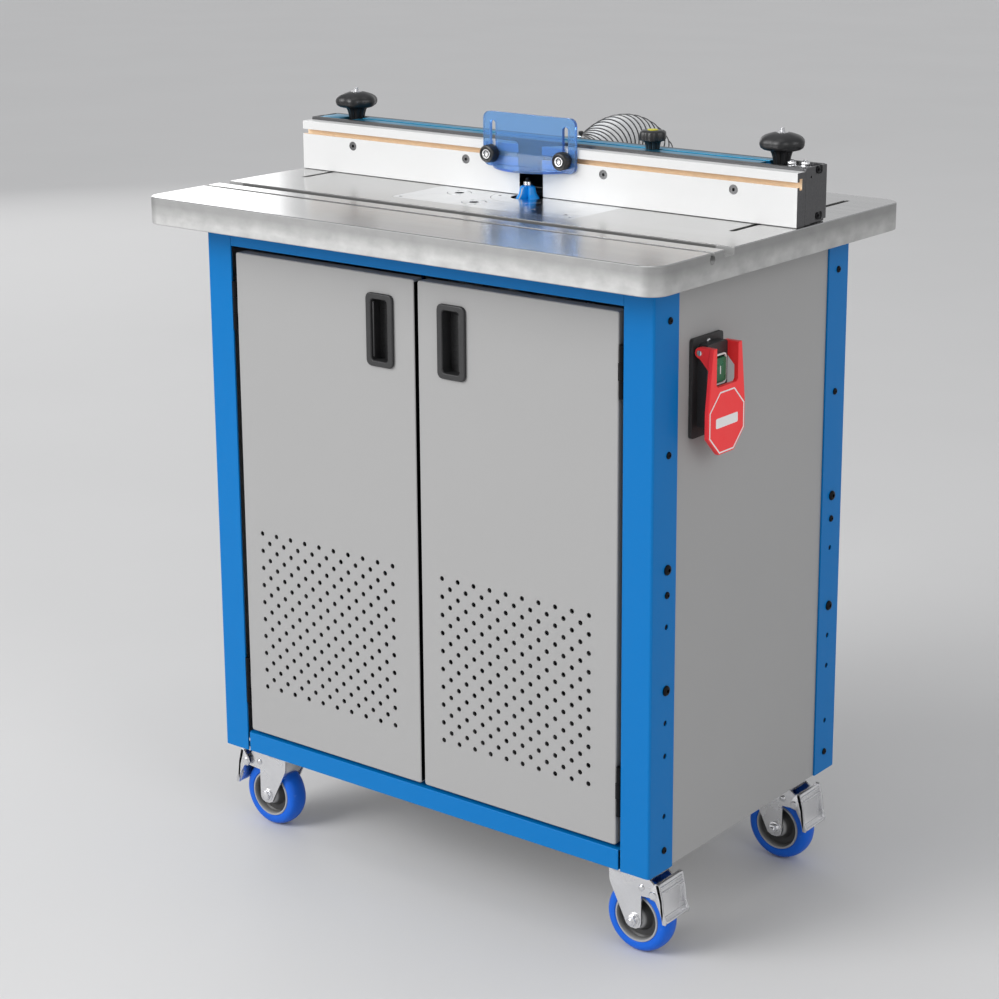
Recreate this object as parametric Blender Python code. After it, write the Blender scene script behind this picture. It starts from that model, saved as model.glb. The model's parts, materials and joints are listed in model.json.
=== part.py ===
"""Router table: a cast-iron top on a wheeled steel cabinet, with fence, router lift, doors and switch.

Metres, +Z up, +X to the right and +Y to the back. The origin is on the floor under the table's centre.
"""

import bmesh
import bpy
from math import asin, cos, pi, radians, sin
from mathutils import Matrix, Vector

GAP = 0.0003

# Table
TABLE_WIDTH = 0.824
TABLE_DEPTH = 0.570
TABLE_TOP = 0.914
TABLE_THICK = 0.036
TABLE_PLATE = 0.016
TABLE_RIM = 0.012
TABLE_CORNER = 0.025
INSERT_WIDTH = 0.2985
INSERT_DEPTH = 0.2096
INSERT_THICK = 0.0095
BIT_Y = 0.0142
LIFT_SCREW = (-0.094, -0.0129)
LOCK_SCREW = (-0.0315, -0.0595)
MITRE_Y = -0.13425
MITRE_WIDTH = 0.0205
MITRE_DEPTH = 0.0095
TEE_Y = -0.1706
CLAMP_X = 0.3526
CLAMP_SLOT = (-0.0396, 0.2428)
CLAMP_Y = 0.075

# Cabinet
HALF_WIDTH = 0.364
FRONT = -0.218
BACK = 0.232
BASE = 0.127
CABINET_TOP = TABLE_TOP - TABLE_THICK - GAP
POST_SHEET = 0.0025
POST_FACE = 0.0434
POST_SIDE = 0.0516
SHEET = 0.0015

# Doors
DOOR_INNER = 0.003
DOOR_OUTER = 0.3125
DOOR_BOTTOM = 0.160
DOOR_TOP = 0.8396
DOOR_DEEP = 0.018
DOOR_FACE = FRONT + 0.001
HINGE_X = 0.3166
HINGE_Y = -0.2165
HINGE_Z = (0.2330, 0.7670)
HINGE_LONG = 0.066
HANDLE_X = 0.05885
HANDLE_Z = 0.7675

# Casters
WHEEL_RADIUS = 0.0475
WHEEL_SIDES = 28
CASTER_LEAD = 0.020
CASTER_X = 0.2987
CASTER_Y = (-0.165, 0.174)
PEDAL_PIVOT = (0.034, 0.093)

# Fence
FACE_FRONT = 0.022
FACE_BACK = 0.041
FENCE_BACK = 0.092
FENCE_HALF = 0.408
FENCE_TOP = 0.986
FACE_TOP = 0.982
GROOVE_Z = 0.9673
GROOVE_HIGH = 0.0067
BIT_GAP = 0.0195
TRACK_Y = 0.0665
TRACK_HALF = 0.338
TRACK_KNOB_X = 0.1635
PORT_Z = 0.950
GUARD_KNOB_X = 0.060

# Dust hose
HOSE_RADIUS = 0.034
HOSE_ROUTE = [
    (0.000, 0.1310, 0.950), (0.000, 0.150, 0.950), (-0.005, 0.178, 0.9545), (-0.010, 0.207, 0.9615),
    (-0.013, 0.238, 0.9655), (-0.014, 0.270, 0.9625), (-0.014, 0.299, 0.951), (-0.013, 0.323, 0.929),
    (-0.011, 0.339, 0.896), (-0.007, 0.346, 0.857), (-0.002, 0.348, 0.812), (0.004, 0.350, 0.765),
    (0.010, 0.349, 0.720), (0.016, 0.344, 0.680), (0.020, 0.331, 0.644), (0.020, 0.310, 0.615),
    (0.020, 0.286, 0.600), (0.020, 0.2635, 0.600),
]
OUTLET = (0.020, 0.600)

# Switch
SWITCH_Y = -0.107
SWITCH_PLATE_X = 0.3665
SWITCH_FACE_X = 0.380
PADDLE_X = 0.395
PADDLE_PIVOT = (0.3745, 0.7835)

# Looks: colour, roughness, metallic
LOOKS = {
    "cast_iron": ((0.55, 0.55, 0.54), 0.38, 1.0),
    "plate_aluminium": ((0.70, 0.71, 0.72), 0.30, 1.0),
    "blue_paint": ((0.003, 0.165, 0.480), 0.32, 0.0),
    "grey_paint": ((0.38, 0.38, 0.38), 0.45, 0.0),
    "black_plastic": ((0.020, 0.020, 0.020), 0.50, 0.0),
    "red_plastic": ((0.80, 0.020, 0.025), 0.30, 0.0),
    "green_plastic": ((0.005, 0.14, 0.05), 0.30, 0.0),
    "zinc": ((0.60, 0.60, 0.61), 0.30, 1.0),
    "blue_wheel": ((0.012, 0.12, 0.68), 0.35, 0.0),
    "dark_aluminium": ((0.09, 0.09, 0.095), 0.42, 0.8),
    "blue_anodised": ((0.04, 0.32, 0.58), 0.35, 0.9),
    "white_laminate": ((0.88, 0.88, 0.87), 0.28, 0.0),
    "clear_blue": ((0.04, 0.14, 0.75), 0.05, 0.0),
    "hose": ((0.55, 0.56, 0.57), 0.30, 0.0),
    "motor_grey": ((0.12, 0.12, 0.13), 0.45, 0.3),
    "blue_cutter": ((0.01, 0.18, 0.62), 0.30, 0.2),
}


def clear_scene():
    for old in list(bpy.data.objects):
        bpy.data.objects.remove(old)


def make(name, mesh_data):
    """Turn a bmesh into an object at the origin, with its faces pointing out."""
    bmesh.ops.recalc_face_normals(mesh_data, faces=mesh_data.faces)
    mesh = bpy.data.meshes.new(name)
    mesh_data.to_mesh(mesh)
    mesh_data.free()
    thing = bpy.data.objects.new(name, mesh)
    bpy.context.scene.collection.objects.link(thing)
    return thing


def loft(name, rings, closed=False):
    """Join rings of points with quads; the ends are capped unless the rings close on themselves."""
    work = bmesh.new()
    rows = [[work.verts.new(point) for point in ring] for ring in rings]
    count = len(rows[0])
    pairs = list(zip(rows, rows[1:]))
    if closed:
        pairs.append((rows[-1], rows[0]))
    else:
        work.faces.new(rows[0])
        work.faces.new(rows[-1])
    for low, high in pairs:
        for i in range(count):
            j = (i + 1) % count
            work.faces.new((low[i], low[j], high[j], high[i]))
    return make(name, work)


def at(axis, a, b, height):
    """A point from two coordinates across an axis and one along it."""
    if axis == "X":
        return (height, a, b)
    if axis == "Y":
        return (a, height, b)
    return (a, b, height)


def prism(name, outline, axis, low, high):
    """Extrude an outline along an axis."""
    return loft(name, [[at(axis, a, b, h) for a, b in outline] for h in (low, high)])


def block(name, low, high):
    """A box from its two corners."""
    outline = [(low[0], low[1]), (high[0], low[1]), (high[0], high[1]), (low[0], high[1])]
    return prism(name, outline, "Z", low[2], high[2])


def circle(radius, count, phase=0.5, centre=(0.0, 0.0)):
    """Points round a circle; a phase of one half puts a flat side at the bottom."""
    turns = [2 * pi * (i + phase) / count for i in range(count)]
    return [(centre[0] + radius * cos(t), centre[1] + radius * sin(t)) for t in turns]


def turned(name, profile, axis, centre, count, closed=False):
    """Turn a profile of (radius, height) about an axis through centre."""
    rings = []
    for radius, height in profile:
        rings.append([at(axis, a, b, height) for a, b in circle(radius, count, 0.5, centre)])
    return loft(name, rings, closed)


def rounded(half_a, half_b, radius, steps=4, centre=(0.0, 0.0)):
    """Outline of a rectangle with round corners."""
    points = []
    corners = ((1, 1), (-1, 1), (-1, -1), (1, -1))
    for quarter, (side_a, side_b) in enumerate(corners):
        for i in range(steps + 1):
            turn = pi / 2 * (quarter + i / steps)
            a = side_a * (half_a - radius) + radius * cos(turn)
            b = side_b * (half_b - radius) + radius * sin(turn)
            points.append((centre[0] + a, centre[1] + b))
    return points


def boolean(body, tool, operation):
    """Cut or join two solids, keep the result in the first and drop the second."""
    step = body.modifiers.new("boolean", "BOOLEAN")
    step.operation = operation
    step.object = tool
    ready = body.evaluated_get(bpy.context.evaluated_depsgraph_get())
    result = bpy.data.meshes.new_from_object(ready)
    body.modifiers.clear()
    body.data = result
    bpy.data.objects.remove(tool)
    return body


def cut(body, *tools):
    for tool in tools:
        boolean(body, tool, "DIFFERENCE")
    return body


def join(body, *tools):
    for tool in tools:
        boolean(body, tool, "UNION")
    return body


def material(look):
    """One Principled material for each look."""
    found = bpy.data.materials.get(look)
    if found:
        return found
    colour, roughness, metallic = LOOKS[look]
    new = bpy.data.materials.new(look)
    new.use_nodes = True
    shader = new.node_tree.nodes["Principled BSDF"]
    shader.inputs["Base Color"].default_value = (*colour, 1.0)
    shader.inputs["Roughness"].default_value = roughness
    shader.inputs["Metallic"].default_value = metallic
    return new


def dress(thing, look, smooth=True):
    thing.data.materials.clear()
    thing.data.materials.append(material(look))
    if smooth:
        thing.data.shade_smooth()
        thing.data.set_sharp_from_angle(angle=radians(32))
    return thing


def pivot(thing, point):
    """Put an object's origin on its joint's axis and leave its shape where it is."""
    thing.data.transform(Matrix.Translation(-Vector(point)))
    thing.location = point
    return thing


def table():
    low = TABLE_TOP - TABLE_THICK
    plate_low = TABLE_TOP - TABLE_PLATE
    outline = rounded(TABLE_WIDTH / 2, TABLE_DEPTH / 2, TABLE_CORNER, 6)
    small = rounded(TABLE_WIDTH / 2 - 0.001, TABLE_DEPTH / 2 - 0.001, TABLE_CORNER - 0.001, 6)
    levels = ((small, low), (outline, low + 0.001), (outline, TABLE_TOP - 0.001), (small, TABLE_TOP))
    top = loft("table_top", [[(x, y, z) for x, y in points] for points, z in levels])
    # Pockets between the ribs of the underside
    far_x = TABLE_WIDTH / 2 - TABLE_RIM
    far_y = TABLE_DEPTH / 2 - TABLE_RIM
    for x0, x1 in ((-far_x, -0.175), (0.175, far_x)):
        for y0, y1 in ((-far_y, -0.226), (-0.206, -0.110), (-0.100, 0.218), (0.240, far_y)):
            cut(top, block("tool", (x0, y0, low - 0.01), (x1, y1, plate_low)))
    for y0, y1 in ((-far_y, -0.226), (-0.206, -0.110), (-0.100, 0.130), (0.140, 0.218), (0.240, far_y)):
        cut(top, block("tool", (-0.165, y0, low - 0.01), (0.165, y1, plate_low)))
    # Rebate and opening for the insert plate
    rebate = INSERT_THICK + GAP
    half_w = INSERT_WIDTH / 2 + GAP
    half_d = INSERT_DEPTH / 2 + GAP
    over = TABLE_TOP + 0.01
    cut(top, prism("tool", rounded(half_w, half_d, 0.008, 4, (0, BIT_Y)), "Z", TABLE_TOP - rebate, over))
    ledge = 0.012
    cut(top, prism("tool", rounded(half_w - ledge, half_d - ledge, 0.008, 4, (0, BIT_Y)), "Z", low, over))
    # Mitre slot, tee slot and the two fence clamp slots
    long = TABLE_WIDTH / 2 + 0.01
    half_mitre = MITRE_WIDTH / 2
    cut(top, block("tool", (-long, MITRE_Y - half_mitre, TABLE_TOP - MITRE_DEPTH),
                   (long, MITRE_Y + half_mitre, over)))
    cut(top, block("tool", (-long, TEE_Y - 0.004, TABLE_TOP - 0.008), (long, TEE_Y + 0.004, over)))
    cut(top, prism("tool", circle(0.0058, 16, 0.5, (TEE_Y, TABLE_TOP - 0.0085)), "X", -long, long))
    middle = sum(CLAMP_SLOT) / 2
    half_long = (CLAMP_SLOT[1] - CLAMP_SLOT[0]) / 2
    for side in (-1, 1):
        slot = rounded(0.0042, half_long, 0.00415, 3, (side * CLAMP_X, middle))
        cut(top, prism("tool", slot, "Z", plate_low - 0.006, over))
    dress(top, "cast_iron")

    plate_outline = rounded(INSERT_WIDTH / 2, INSERT_DEPTH / 2, 0.0077, 4, (0, BIT_Y))
    plate = prism("insert_plate", plate_outline, "Z", TABLE_TOP - INSERT_THICK, TABLE_TOP)
    cut(plate, prism("tool", circle(0.0493, 40, 0.5, (0, BIT_Y)), "Z", TABLE_TOP - 0.0043, over))
    cut(plate, prism("tool", circle(0.0430, 40, 0.5, (0, BIT_Y)), "Z", low, over))
    for x, y in (LIFT_SCREW, LOCK_SCREW):
        cut(plate, prism("tool", circle(0.0065, 16, 0.5, (x, y)), "Z", low, over))
    dress(plate, "plate_aluminium")

    under = TABLE_TOP - INSERT_THICK + GAP
    step = TABLE_TOP - 0.0040
    section = [(0.0220, under), (0.0427, under), (0.0427, step), (0.0490, step),
               (0.0490, TABLE_TOP), (0.0220, TABLE_TOP)]
    dress(turned("insert_ring", section, "Z", (0, BIT_Y), 40, closed=True), "plate_aluminium")


def router():
    """Router, its lift and the cutter."""
    hung = TABLE_TOP - INSERT_THICK - GAP
    foot = 0.690
    column_x = 0.075
    frame = turned("lift_frame", [(0.062, foot), (0.062, foot + 0.015)], "Z", (0, BIT_Y), 32)
    join(frame, block("tool", (-0.104, -0.024, foot), (0.104, 0.040, foot + 0.015)))
    cut(frame, prism("tool", circle(0.0500, 32, 0.5, (0, BIT_Y)), "Z", foot - 0.01, foot + 0.03))
    for side in (-1, 1):
        join(frame, prism("tool", circle(0.0080, 16, 0.5, (side * column_x, BIT_Y)), "Z", foot + 0.005, hung))
        head = circle(0.0130, 16, 0.5, (side * column_x, BIT_Y))
        join(frame, prism("tool", head, "Z", hung - 0.006, hung))
    dress(frame, "zinc")

    carriage = turned("lift_carriage", [(0.058, 0.780), (0.058, 0.840)], "Z", (0, BIT_Y), 32)
    join(carriage, block("tool", (-0.106, -0.024, 0.782), (0.096, 0.040, 0.838)))
    holes = [((0, BIT_Y), 0.0455, 32), ((-column_x, BIT_Y), 0.0084, 16), ((column_x, BIT_Y), 0.0084, 16),
             (LIFT_SCREW, 0.0044, 16)]
    for centre, radius, sides in holes:
        cut(carriage, prism("tool", circle(radius, sides, 0.5, centre), "Z", 0.770, 0.850))
    dress(carriage, "plate_aluminium")

    profile = [(0.030, 0.640), (0.042, 0.644), (0.045, 0.656), (0.045, 0.852), (0.036, 0.862), (0.020, 0.868)]
    dress(turned("router_motor", profile, "Z", (0, BIT_Y), 32), "motor_grey")

    profile = [(0.0085, 0.8685), (0.0085, 0.874), (0.0130, 0.874), (0.0130, 0.892), (0.0064, 0.895),
               (0.0064, 0.904), (0.0148, 0.906), (0.0160, 0.911), (0.0122, 0.9185),
               (0.0102, 0.9285), (0.0052, 0.930), (0.0052, 0.9355), (0.0026, 0.9358), (0.0026, 0.940)]
    bit = turned("router_bit", profile, "Z", (0, BIT_Y), 16)
    dress(bit, "blue_cutter")
    pivot(bit, (0, BIT_Y, 0.892))

    screw = turned("lift_screw", [(0.0038, foot + 0.0155), (0.0038, 0.898), (0.0055, 0.899), (0.0055, 0.909)],
                   "Z", LIFT_SCREW, 16)
    dress(screw, "zinc")
    pivot(screw, (*LIFT_SCREW, 0.8))


def post(name, side, end):
    """An L-shaped corner post; side is left or right, end is front or back."""
    x = side * HALF_WIDTH
    y = FRONT if end < 0 else BACK
    bend = 0.004
    outline = [(x - side * POST_FACE, y)]
    for i in range(4):
        turn = pi / 2 * i / 3
        outline.append((x - side * bend * (1 - sin(turn)), y - end * bend * (1 - cos(turn))))
    outline.append((x, y - end * POST_SIDE))
    outline.append((x - side * POST_SHEET, y - end * POST_SIDE))
    outline.append((x - side * POST_SHEET, y - end * bend))
    outline.append((x - side * bend, y - end * POST_SHEET))
    outline.append((x - side * POST_FACE, y - end * POST_SHEET))
    dress(prism(name, outline, "Z", BASE + GAP, CABINET_TOP), "blue_paint")


def rail(name, low, high):
    """A channel between the front posts, open to the back."""
    deep = 0.028
    sheet = 0.002
    rear = FRONT + deep
    inner = FRONT + sheet
    outline = [(FRONT, low), (rear, low), (rear, low + sheet), (inner, low + sheet),
               (inner, high - sheet), (rear, high - sheet), (rear, high), (FRONT, high)]
    half = HALF_WIDTH - POST_FACE - GAP
    dress(prism(name, outline, "X", -half, half), "blue_paint")


def cabinet():
    for side, side_name in ((-1, "left"), (1, "right")):
        post("post_front_" + side_name, side, -1)
        post("post_rear_" + side_name, side, 1)
        outer = HALF_WIDTH - POST_SHEET - GAP
        inner = outer - SHEET
        low = BASE + GAP
        flange = 0.020
        outline = [(outer, low), (outer, CABINET_TOP), (inner - flange, CABINET_TOP),
                   (inner - flange, CABINET_TOP - SHEET), (inner, CABINET_TOP - SHEET), (inner, low + SHEET),
                   (inner - flange, low + SHEET), (inner - flange, low)]
        outline = [(side * x, z) for x, z in outline]
        panel = prism("side_panel_" + side_name, outline, "Y", -0.186, 0.219)
        dress(panel, "grey_paint")
    rail("rail_top_front", 0.8475, CABINET_TOP)
    rail("rail_bottom_front", BASE + GAP, 0.155)

    floor_low = BASE + 2 * GAP + SHEET
    half = HALF_WIDTH - POST_SHEET - SHEET - 3 * GAP
    back_in = BACK - POST_SHEET - GAP - SHEET
    floor = block("floor_panel", (-half, -0.1895, floor_low), (half, back_in - GAP, floor_low + SHEET))
    dress(floor, "grey_paint")

    back = block("back_panel", (-half, back_in, BASE + GAP), (half, back_in + SHEET, CABINET_TOP))
    centre = OUTLET
    join(back, prism("tool", circle(0.044, 32, 0.5, centre), "Y", back_in + 0.0005, back_in + 0.004))
    join(back, prism("tool", circle(0.033, 32, 0.5, centre), "Y", back_in + 0.0005, 0.2622))
    cut(back, prism("tool", circle(0.029, 32, 0.5, centre), "Y", back_in - 0.01, 0.2722))
    dress(back, "grey_paint")


def hinge(name, side, height):
    """Frame half of a door hinge: a leaf behind the post and two knuckles."""
    low = height - HINGE_LONG / 2
    high = height + HINGE_LONG / 2
    x = side * HINGE_X
    third = HINGE_LONG / 3
    wall_a = side * (HINGE_X + 0.0018)
    wall_b = side * (HINGE_X + 0.0032)
    back_a = FRONT + POST_SHEET + GAP
    back_b = back_a + 0.0014
    foot = side * (HINGE_X + 0.026)
    outline = [(wall_a, HINGE_Y), (wall_b, HINGE_Y), (wall_b, back_a), (foot, back_a), (foot, back_b),
               (wall_a, back_b)]
    leaf = prism(name, outline, "Z", low, high)
    for start in (low, high - third + GAP):
        join(leaf, prism("tool", circle(0.0032, 14, 0.5, (x, HINGE_Y)), "Z", start, start + third - GAP))
    cut(leaf, block("tool", (x - 0.005, HINGE_Y - 0.005, low + third),
                    (x + 0.005, HINGE_Y + 0.0034, high - third)))
    join(leaf, prism("tool", circle(0.0012, 12, 0.5, (x, HINGE_Y)), "Z", low + 0.005, high - 0.005))
    dress(leaf, "black_plastic")


def door(name, side):
    """A sheet-metal pan with its two hinge knuckles and the hole for its handle."""
    middle = (DOOR_INNER + DOOR_OUTER) / 2 * side
    half_w = (DOOR_OUTER - DOOR_INNER) / 2
    centre_z = (DOOR_BOTTOM + DOOR_TOP) / 2
    half_h = (DOOR_TOP - DOOR_BOTTOM) / 2
    back = DOOR_FACE + DOOR_DEEP
    rings = []
    for inset, y in ((0, back), (0, DOOR_FACE + 0.001), (0.001, DOOR_FACE)):
        outline = rounded(half_w - inset, half_h - inset, 0.003, 2, (middle, centre_z))
        rings.append([(a, y, b) for a, b in outline])
    pan = loft(name, rings)
    hollow = rounded(half_w - SHEET, half_h - SHEET, 0.002, 2, (middle, centre_z))
    cut(pan, prism("tool", hollow, "Y", DOOR_FACE + SHEET, back + 0.01))
    hole = rounded(0.0170, 0.0435, 0.006, 4, (side * HANDLE_X, HANDLE_Z))
    cut(pan, prism("tool", hole, "Y", DOOR_FACE - 0.01, DOOR_FACE + 0.01))
    third = HINGE_LONG / 3
    x = side * HINGE_X
    for height in HINGE_Z:
        low = height - third / 2 + GAP
        high = height + third / 2 - GAP
        tab_a = side * (DOOR_OUTER - 0.0008)
        tab_b = side * (HINGE_X - 0.0020)
        tab = block("tool", (min(tab_a, tab_b), DOOR_FACE, low),
                    (max(tab_a, tab_b), DOOR_FACE + 0.0018, high))
        knuckle = prism("knuckle", circle(0.0031, 14, 0.5, (x, HINGE_Y)), "Z", low, high)
        join(knuckle, tab)
        cut(knuckle, prism("tool", circle(0.0015, 12, 0.5, (x, HINGE_Y)), "Z", low - 0.01, high + 0.01))
        join(pan, knuckle)
    dress(pan, "grey_paint")
    pivot(pan, (x, HINGE_Y, centre_z))

    centre = (side * HANDLE_X, HANDLE_Z)
    levels = [
        (0.0165, 0.0430, 0.0055, DOOR_FACE + 0.0165), (0.0165, 0.0430, 0.0055, DOOR_FACE - GAP),
        (0.0225, 0.0480, 0.0075, DOOR_FACE - GAP), (0.0225, 0.0480, 0.0075, DOOR_FACE - 0.0030),
        (0.0212, 0.0467, 0.0065, DOOR_FACE - 0.0040), (0.0145, 0.0410, 0.0045, DOOR_FACE - 0.0040),
        (0.0135, 0.0400, 0.0040, DOOR_FACE - 0.0025), (0.0135, 0.0400, 0.0040, DOOR_FACE + 0.0150),
    ]
    rings = [[(a, y, b) for a, b in rounded(w, h, r, 3, centre)] for w, h, r, y in levels]
    handle = loft(name.replace("door", "handle"), rings)
    dress(handle, "black_plastic")
    pivot(handle, (x, HINGE_Y, HANDLE_Z))


def doors():
    for side, side_name in ((-1, "left"), (1, "right")):
        door("door_" + side_name, side)
        for height, level in zip(HINGE_Z, ("lower", "upper")):
            hinge("hinge_" + side_name + "_" + level, side, height)


def switch():
    """Safety switch on the right side panel: box, two buttons and the stop paddle."""
    wall = HALF_WIDTH - POST_SHEET
    plate = rounded(0.0335, 0.0618, 0.004, 3, (SWITCH_Y, 0.7376))
    box = prism("switch_box", plate, "X", wall, SWITCH_PLATE_X)
    body = rounded(0.0225, 0.0520, 0.004, 3, (SWITCH_Y, 0.7400))
    join(box, prism("tool", body, "X", wall + 0.001, SWITCH_FACE_X))
    start_hole = rounded(0.0135, 0.0155, 0.002, 3, (SWITCH_Y, 0.7585))
    cut(box, prism("tool", start_hole, "X", SWITCH_FACE_X - 0.006, SWITCH_FACE_X + 0.01))
    stop_hole = circle(0.0125, 24, 0.5, (SWITCH_Y, 0.7050))
    cut(box, prism("tool", stop_hole, "X", SWITCH_FACE_X - 0.006, SWITCH_FACE_X + 0.01))
    for end in (-1, 1):
        pin = prism("tool", circle(0.0025, 12, 0.5, PADDLE_PIVOT), "Y", 0, end * 0.0305)
        pin.data.transform(Matrix.Translation((0, SWITCH_Y, 0)))
        join(box, pin)
    dress(box, "black_plastic")

    start = prism("start_button", rounded(0.0128, 0.0148, 0.002, 3, (SWITCH_Y, 0.7585)), "X",
                  SWITCH_FACE_X - 0.0020, SWITCH_FACE_X + 0.0045)
    dress(start, "green_plastic")
    pivot(start, (SWITCH_FACE_X, SWITCH_Y, 0.7585))
    profile = [(0.0118, SWITCH_FACE_X - 0.0020), (0.0118, SWITCH_FACE_X + 0.0050),
               (0.0095, SWITCH_FACE_X + 0.0065)]
    stop = turned("stop_button", profile, "X", (SWITCH_Y, 0.7050), 24)
    dress(stop, "red_plastic")
    pivot(stop, (SWITCH_FACE_X, SWITCH_Y, 0.7050))

    # Paddle: an octagon below, two arms above and an ear on each arm round the pivot
    centre_z = 0.6975
    flat = 0.040
    corner = flat * 0.414
    right = [(corner, centre_z - flat), (flat, centre_z - corner), (flat, centre_z + corner), (0.031, 0.7905)]
    left = [(-y, z) for y, z in reversed(right)]
    window = [(-0.0235, 0.7905), (-0.0235, 0.7450), (-0.0205, 0.7420), (0.0205, 0.7420), (0.0235, 0.7450),
              (0.0235, 0.7905)]
    outline = [(SWITCH_Y + y, z) for y, z in right + list(reversed(window)) + left]
    back = PADDLE_X - 0.006
    paddle = prism("stop_paddle", outline, "X", back, PADDLE_X)
    for end in (-1, 1):
        y0 = SWITCH_Y + end * 0.0235
        y1 = SWITCH_Y + end * 0.0310
        ear = [(back + 0.001, 0.7905), (PADDLE_PIVOT[0], 0.7905)]
        for i in range(5):
            turn = pi / 2 + pi * (i + 1) / 6
            ear.append((PADDLE_PIVOT[0] + 0.007 * cos(turn), PADDLE_PIVOT[1] + 0.007 * sin(turn)))
        ear += [(PADDLE_PIVOT[0], 0.7765), (back + 0.001, 0.7600)]
        near, far = sorted((y0, y1))
        arm = prism("tool", ear, "Y", near, far)
        cut(arm, prism("tool", circle(0.0029, 12, 0.5, PADDLE_PIVOT), "Y", near - 0.01, far + 0.01))
        join(paddle, arm)
    dress(paddle, "red_plastic")
    pivot(paddle, (PADDLE_PIVOT[0], SWITCH_Y, PADDLE_PIVOT[1]))


def caster_meshes():
    """Caster pieces about the swivel axis, with the wheel trailing towards +X."""
    plate = block("caster_plate", (-0.045, -0.042, 0.1240), (0.045, 0.042, BASE))
    join(plate, turned("tool", [(0.026, 0.1186), (0.028, 0.1205), (0.028, 0.1250)], "Z", (0, 0), 20))
    dress(plate, "zinc")

    x = CASTER_LEAD
    axle_z = WHEEL_RADIUS
    fork = block("caster_fork", (x - 0.038, -0.0210, 0.1072), (x + 0.024, 0.0210, 0.1100))
    side = [(-0.038, 0.1100), (-0.037, 0.0920), (-0.0135, 0.0460), (-0.0105, 0.0400), (-0.004, 0.0365),
            (0.004, 0.0365), (0.0105, 0.0400), (0.0120, 0.0460), (0.0120, 0.0840), (0.0340, 0.0855),
            (0.0385, 0.0870), (0.0410, 0.0930), (0.0385, 0.0990), (0.0240, 0.1100)]
    outline = [(x + a, b) for a, b in side]
    pivot_at = (x + PEDAL_PIVOT[0], PEDAL_PIVOT[1])
    for y0, y1 in ((-0.0210, -0.0185), (0.0185, 0.0210)):
        join(fork, prism("tool", outline, "Y", y0, y1))
    join(fork, turned("tool", [(0.024, 0.1090), (0.024, 0.1160), (0.022, 0.1182)], "Z", (0, 0), 20))
    axle = [(0.0075, -0.0255), (0.0075, -0.0205), (0.0040, -0.0205), (0.0040, 0.0205), (0.0075, 0.0205),
            (0.0075, 0.0255)]
    join(fork, turned("tool", axle, "Y", (x, axle_z), 12))
    cut(fork, prism("tool", circle(0.0034, 12, 0.5, pivot_at), "Y", -0.03, 0.03))
    dress(fork, "zinc")

    flat_side = cos(pi / WHEEL_SIDES)
    section = [(0.0042, -0.0165), (0.0130, -0.0160), (0.0300, -0.0115), (0.0350, -0.0145),
               (0.0430, -0.0130), (WHEEL_RADIUS / flat_side, -0.0040)]
    section += [(radius, -y) for radius, y in reversed(section)]
    wheel = turned("caster_wheel", section, "Y", (0, 0), WHEEL_SIDES, closed=True)
    dress(wheel, "blue_wheel")

    skin = [(0.0375, 0.1100), (0.0430, 0.1095), (0.0480, 0.0900), (0.0500, 0.0720), (0.0540, 0.0610),
            (0.0530, 0.0570), (0.0485, 0.0570), (0.0455, 0.0720), (0.0440, 0.0860), (0.0385, 0.1040)]
    cheek = [(0.0270, 0.0930), (0.0290, 0.0985), (0.0375, 0.1100), (0.0430, 0.1095), (0.0480, 0.0900),
             (0.0500, 0.0720), (0.0490, 0.0600), (0.0440, 0.0740), (0.0370, 0.0860), (0.0300, 0.0870)]
    pedal = prism("brake_pedal", [(x + a, b) for a, b in skin], "Y", -0.0270, 0.0270)
    for y0, y1 in ((-0.0270, -0.0250), (0.0250, 0.0270)):
        join(pedal, prism("tool", [(x + a, b) for a, b in cheek], "Y", y0, y1))
    join(pedal, prism("tool", circle(0.0030, 12, 0.5, pivot_at), "Y", -0.0285, 0.0285))
    dress(pedal, "zinc")
    pedal.data.transform(Matrix.Translation((-pivot_at[0], 0, -pivot_at[1])))
    return plate, fork, wheel, pedal


def casters():
    plate, fork, wheel, pedal = caster_meshes()
    reach = CASTER_LEAD + PEDAL_PIVOT[0]
    for side, side_name in ((-1, "left"), (1, "right")):
        for y, end_name in zip(CASTER_Y, ("front", "rear")):
            place = end_name + "_" + side_name
            x = side * CASTER_X
            spots = ((plate, "caster_plate_", (x, y, 0)), (fork, "caster_fork_", (x, y, 0)),
                     (wheel, "caster_wheel_", (x + side * CASTER_LEAD, y, WHEEL_RADIUS)),
                     (pedal, "brake_pedal_", (x + side * reach, y, PEDAL_PIVOT[1])))
            for source, start, location in spots:
                copy = bpy.data.objects.new(start + place, source.data)
                copy.location = location
                copy.rotation_euler = (0, 0, 0 if side > 0 else pi)
                bpy.context.scene.collection.objects.link(copy)
    for source in (plate, fork, wheel, pedal):
        bpy.data.objects.remove(source)


def knob(name, x, y, levels, lobes, depth, look="black_plastic"):
    """A hand knob on a vertical stud; levels are (radius, height, share of lobe)."""
    count = lobes * 4
    rings = []
    for radius, height, share in levels:
        ring = []
        for i in range(count):
            turn = 2 * pi * i / count
            r = radius * (1 + depth * share * cos(lobes * turn))
            ring.append((x + r * cos(turn), y + r * sin(turn), height))
        rings.append(ring)
    made = loft(name, rings)
    dress(made, look)
    pivot(made, (x, y, levels[-1][1]))


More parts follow.
